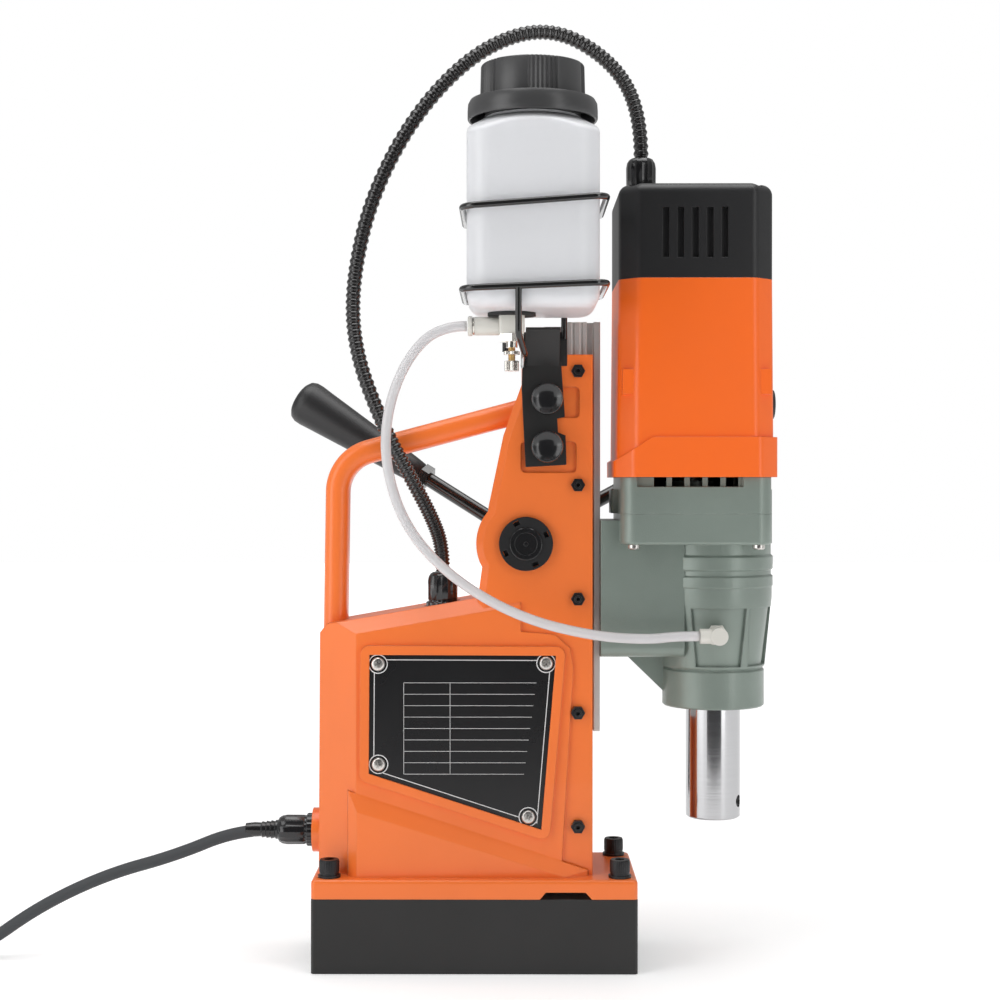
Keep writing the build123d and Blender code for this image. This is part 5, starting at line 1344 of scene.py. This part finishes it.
@dataclass
class Coolant:
    """The bottle with its cap, valve and fittings.

    Attributes:
        x: Middle of the bottle.
        y: Middle of the bottle.
        valve_x: Middle of the valve.
        outlet: Height of the fitting's axis.
        collar: Radius and height of the cap's collar and inside, in millimetres.
    """

    shop: Shop
    x: float = 37 * MM
    y: float = -75 * MM
    valve_x: float = 24 * MM
    outlet: float = 412.8 * MM
    collar: tuple[tuple[float, float], ...] = (
        (31.5, 553.2), (35.6, 553.3), (38.9, 552.4), (40.2, 550.0), (40.5, 546.0),
        (40.5, 541.2), (40.0, 540.2), (38.9, 540.2), (38.4, 541.2), (38.2, 549.4),
        (31.0, 550.4), (29.6, 541.8), (29.6, 567.2), (0, 567.2))

    def cap(self) -> None:
        """Makes the screw cap: a fluted body over a wide open collar."""
        bm = bmesh.new()
        foot = Matrix.Translation((self.x, self.y, 552.8 * MM)) @ Matrix.Rotation(
            math.radians(262 - 16), 4, "Z")
        side = ring(bm, foot, 32.7 * MM, 150, notch=0.972, group=14, groups=5)
        stack(bm, side, foot, [(0.985, 20.4 * MM), (0.965, 21.4 * MM), (0.93, 21.7 * MM),
                               (0.915, 20.8 * MM), (0.5, 20.8 * MM)], close_start=False)
        centre = Matrix.Translation((self.x, self.y, 0))
        lathe(bm, centre, self.collar, 96)
        self.shop.piece("bottle_cap_fluted", bm, CAP_BLACK, Body.CAP, ("bottle_cap",))

    def valve(self) -> None:
        """Makes the valve body, its nut, stem, lock ring and knurled knob, and the fitting."""
        x, y = self.valve_x, self.y
        bm = bmesh.new()
        seat = Matrix.Translation((x, y, 419.2 * MM)) @ Matrix.Rotation(math.pi, 4, "X")
        stack(bm, rounded_ring(bm, seat, 16 * MM, 15 * MM, 2 * MM, 3), seat,
              [(1.0, 9 * MM), (0.94, 11.4 * MM)])
        turned(bm, Matrix.Translation((x, y, 419 * MM)), 4.9, 24, [(1.0, 7.8)])
        self.shop.piece("valve_white", bm, WHITE_FITTING, Body.FRAME, ("valve_body",))
        bm = bmesh.new()
        turned(bm, Matrix.Translation((x, y, 403 * MM)), 8.6, 6, [(1.0, 4.9)])
        turned(bm, Matrix.Translation((x, y, 399.4 * MM)), 3.6, 24, [(1.0, 3.8)])
        self.shop.piece("valve_nut", bm, NICKEL, Body.FRAME, slot="valve_nickel")
        bm = bmesh.new()
        turned(bm, Matrix.Translation((x, y, 391 * MM)), 2.3, 24,
               [step for turn in range(8) for step in ((1.0, 0.5 + turn), (0.86, 1.0 + turn))]
               + [(1.0, 9)])
        self.shop.piece("valve_stem", bm, BRASS, Body.VALVE, ("valve_knob",))
        bm = bmesh.new()
        for low, high, radius in ((395, 397.2, 5.0), (384.8, 391.2, 4.5)):
            tall = high - low
            turned(bm, Matrix.Translation((x, y, low * MM)), 0.95 * radius, 60,
                   [(1.05, 0.25), (1.05, tall - 0.25), (1.0, tall)], notch=0.94)
        self.shop.piece("valve_thumb_knob", bm, NICKEL, Body.VALVE, slot="knob_brass")
        bm = bmesh.new()
        turned(bm, frame_of((x - 7 * MM, y, self.outlet), (-1, 0, 0)), 5.4, 32,
               [(1.06, 1.2), (1.08, 15.4), (1.0, 16.6)])
        turned(bm, frame_of((x - 24.4 * MM, y, self.outlet), (-1, 0, 0)), 4.6, 32,
               [(1.34, 0.2), (1.38, 2.0), (1.26, 2.9), (0.8, 3.1)])
        self.shop.piece("valve_push_fitting", bm, WHITE_FITTING, Body.FRAME,
                        ("bottle_hose_fitting",))
        bm = bmesh.new()
        turned(bm, frame_of((x - 23.2 * MM, y, self.outlet), (-1, 0, 0)), 5.6, 32,
               [(1.04, 0.3), (1.0, 1.1)])
        self.shop.piece("fitting_band", bm, NICKEL, Body.FRAME, slot="valve_nickel")

    def build(self) -> None:
        """Makes the bottle's pieces and dresses its wire cradle."""
        self.shop.soften("coolant_bottle", BOTTLE_WHITE, Body.FRAME, 0.6 * MM)
        self.cap()
        self.shop.dress(SEAL_RUBBER, "bottle_gasket")
        self.valve()
        self.shop.dress(WIRE_GLOSS, "bottle_cradle")


@dataclass
class Bracket:
    """The sheet bracket and its two thumb knobs.

    Attributes:
        x: Where the knobs' axes are.
        front: How far the bracket's face stands out.
        tip: How far in the knobs' screws end.
    """

    shop: Shop
    x: float = 46.8 * MM
    front: float = 32.2 * MM
    tip: float = 18 * MM

    def knob(self, name: str, node: str, body: Body, height: float) -> None:
        """Makes one knurled, dished thumb knob.

        Args:
            name: Name of the piece.
            node: CAD node that it replaces.
            body: The body it rides on.
            height: Height of its axis, in metres.
        """
        bm = bmesh.new()
        turned(bm, frame_of((self.x, -self.tip, height), (0, -1, 0)), 2.95, 24, [(1.0, 14.2)])
        turned(bm, frame_of((self.x, -self.front, height), (0, -1, 0)), 7, 32, [(0.98, 3.2)])
        turned(bm, frame_of((self.x, -self.front - 3.0 * MM, height), (0, -1, 0)), 10.2, 72,
               [(1.03, 0.6), (1.035, 7.6), (1.0, 8.9), (0.93, 9.2), (0.86, 8.9), (0.72, 8.0),
                (0.45, 7.1), (0.15, 6.7)], notch=0.955)
        self.shop.piece(name, bm, BLACK_GLOSS, body, (node,))

    def build(self) -> None:
        """Makes the bracket and its knobs."""
        self.shop.soften("bottle_bracket", SHEET_BLACK, Body.FRAME, 0.3 * MM, 2)
        self.knob("upper_thumb_knob", "bracket_knob_upper", Body.UPPER_KNOB, 369.4 * MM)
        self.knob("lower_thumb_knob", "bracket_knob_lower", Body.LOWER_KNOB, 338.6 * MM)


# ------------------------------------------------------------------ studio
@dataclass
class Studio:
    """Camera, floor and soft light.

    Attributes:
        eye: Where the camera stands.
        yaw: Its turn to the left, in radians.
        pitch: Its tilt upwards, in radians.
        lens: Focal length, in millimetres.
        aim: Where the soft boxes point.
        glow_range: Distances from the middle of the floor, and its glow at each.
        room_range: Directions from front to back, and the room's brightness at each.
        card: Left, right and upper edge of the dark card.
        card_y: How far in front it stands.
    """

    eye: Point = (0.0221, -1.180, 0.3133)
    yaw: float = 0.0049
    pitch: float = -0.0079
    lens: float = 63.83
    aim: Point = (0.03, 0.0, 0.28)
    glow_range: tuple[float, ...] = (0.6, 3.5, 0.32, 0.98)
    room_range: tuple[float, ...] = (-0.95, 0.1, 0.02, 0.45)
    card: Point = (-0.29, 0.58, 1.0)
    card_y: float = -0.75

    def camera(self) -> None:
        """Makes the camera."""
        data = bpy.data.cameras.new("camera")
        data.lens = self.lens
        data.sensor_width = 36.0
        data.clip_start, data.clip_end = 0.05, 50.0
        made = bpy.data.objects.new("camera", data)
        made.location = self.eye
        made.rotation_euler = (math.pi / 2 + self.pitch, 0.0, self.yaw)
        bpy.context.scene.collection.objects.link(made)
        bpy.context.scene.camera = made

    def floor(self) -> None:
        """Makes the pale floor."""
        bm = bmesh.new()
        bmesh.ops.create_grid(bm, x_segments=8, y_segments=8, size=6.0,
                              matrix=Matrix.Translation((0, 0, -0.0002)))
        mesh = bpy.data.meshes.new("studio_floor")
        bm.to_mesh(mesh)
        bm.free()
        material = FLOOR_WHITE.build()
        shader = next(n for n in material.node_tree.nodes if n.type == "BSDF_PRINCIPLED")
        shader.inputs["Emission Color"].default_value = (1, 1, 1, 1)
        tree = material.node_tree
        spot, reach, glow = (tree.nodes.new("ShaderNode" + kind)
                             for kind in ("TexCoord", "VectorMath", "MapRange"))
        reach.operation = "LENGTH"
        for name, value in zip(RANGE_INPUTS, self.glow_range):
            glow.inputs[name].default_value = value
        tree.links.new(reach.inputs[0], spot.outputs["Object"])
        tree.links.new(glow.inputs["Value"], reach.outputs["Value"])
        tree.links.new(shader.inputs["Emission Strength"], glow.outputs["Result"])
        mesh.materials.append(material)
        made = bpy.data.objects.new("studio_floor", mesh)
        bpy.context.scene.collection.objects.link(made)

    def flag(self) -> None:
        """Makes the dark card in front of the floor that the polished spindle reflects."""
        bm = bmesh.new()
        left, right, top = self.card
        corners = ((left, 0.0), (right, 0.0), (right, top), (left, top))
        slab(bm, [(x, self.card_y, z) for x, z in corners], (0, -0.01, 0))
        mesh = bpy.data.meshes.new("studio_flag")
        bm.to_mesh(mesh)
        bm.free()
        mesh.materials.append(PANEL_BLACK.build())
        made = bpy.data.objects.new("studio_flag", mesh)
        bpy.context.scene.collection.objects.link(made)
        made.visible_camera = False
        made.visible_diffuse = False
        made.visible_shadow = False

    def lamp(self, name: str, spot: Point, target: Point, size: tuple[float, float],
             power: float) -> None:
        """Makes one soft box.

        Args:
            name: Name of the light.
            spot: Where it stands.
            target: Where it points.
            size: Its width and height.
            power: Its power, in watts.
        """
        data = bpy.data.lights.new(name, "AREA")
        data.shape = "RECTANGLE"
        data.size, data.size_y = size
        data.energy = power
        made = bpy.data.objects.new(name, data)
        aim = Vector(target) - Vector(spot)
        turn = aim.to_track_quat("-Z", "Y").to_matrix().to_4x4()
        made.matrix_world = Matrix.Translation(spot) @ turn
        bpy.context.scene.collection.objects.link(made)

    def light(self) -> None:
        """Makes the sky and the soft boxes."""
        world = bpy.data.worlds.new("studio")
        world.use_nodes = True
        graph = Graph(world.node_tree)
        spot = graph.node("TexCoord")
        parts = graph.node("SeparateXYZ")
        graph.feed(parts.inputs[0], spot.outputs["Generated"])
        side = graph.node("MapRange")
        graph.feed(side.inputs["Value"], parts.outputs["Y"])
        for name, value in zip(RANGE_INPUTS, self.room_range):
            side.inputs[name].default_value = value
        room, plain = graph.node("Background"), graph.node("Background")
        sky = graph.node("MixShader")
        graph.feed(room.inputs["Strength"], side.outputs["Result"])
        plain.inputs["Color"].default_value = room.inputs["Color"].default_value = (1, 1, 1, 1)
        graph.feed(sky.inputs[0], graph.node("LightPath").outputs["Is Camera Ray"])
        graph.feed(sky.inputs[1], room.outputs[0])
        graph.feed(sky.inputs[2], plain.outputs[0])
        graph.feed(graph.node("OutputWorld").inputs["Surface"], sky.outputs[0])
        bpy.context.scene.world = world
        self.lamp("left_box", (-1.15, -0.85, 0.75), self.aim, (0.75, 1.5), 9.0)
        self.lamp("right_box", (0.95, -1.05, 0.7), self.aim, (0.4, 1.5), 4.6)
        self.lamp("top_box", (0.05, -0.1, 2.1), self.aim, (1.8, 1.4), 28.0)
        bpy.context.scene.view_settings.view_transform = "Standard"

    def build(self) -> None:
        """Makes the floor, the card and the light."""
        self.floor()
        self.flag()
        self.light()


def main() -> None:
    """Builds the looks round the frame."""
    logging.basicConfig(level=logging.INFO, format="%(name)s: %(message)s")
    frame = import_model()
    shop = Shop(frame)
    studio = Studio()
    studio.camera()
    for assembly in (Cords(shop), Glands(shop), Foot(shop), Frame(shop), Feed(shop),
                     Head(shop), Coolant(shop), Bracket(shop), studio):
        assembly.build()
        log.info("built %s", type(assembly).__name__)


if __name__ == "__main__":
    main()
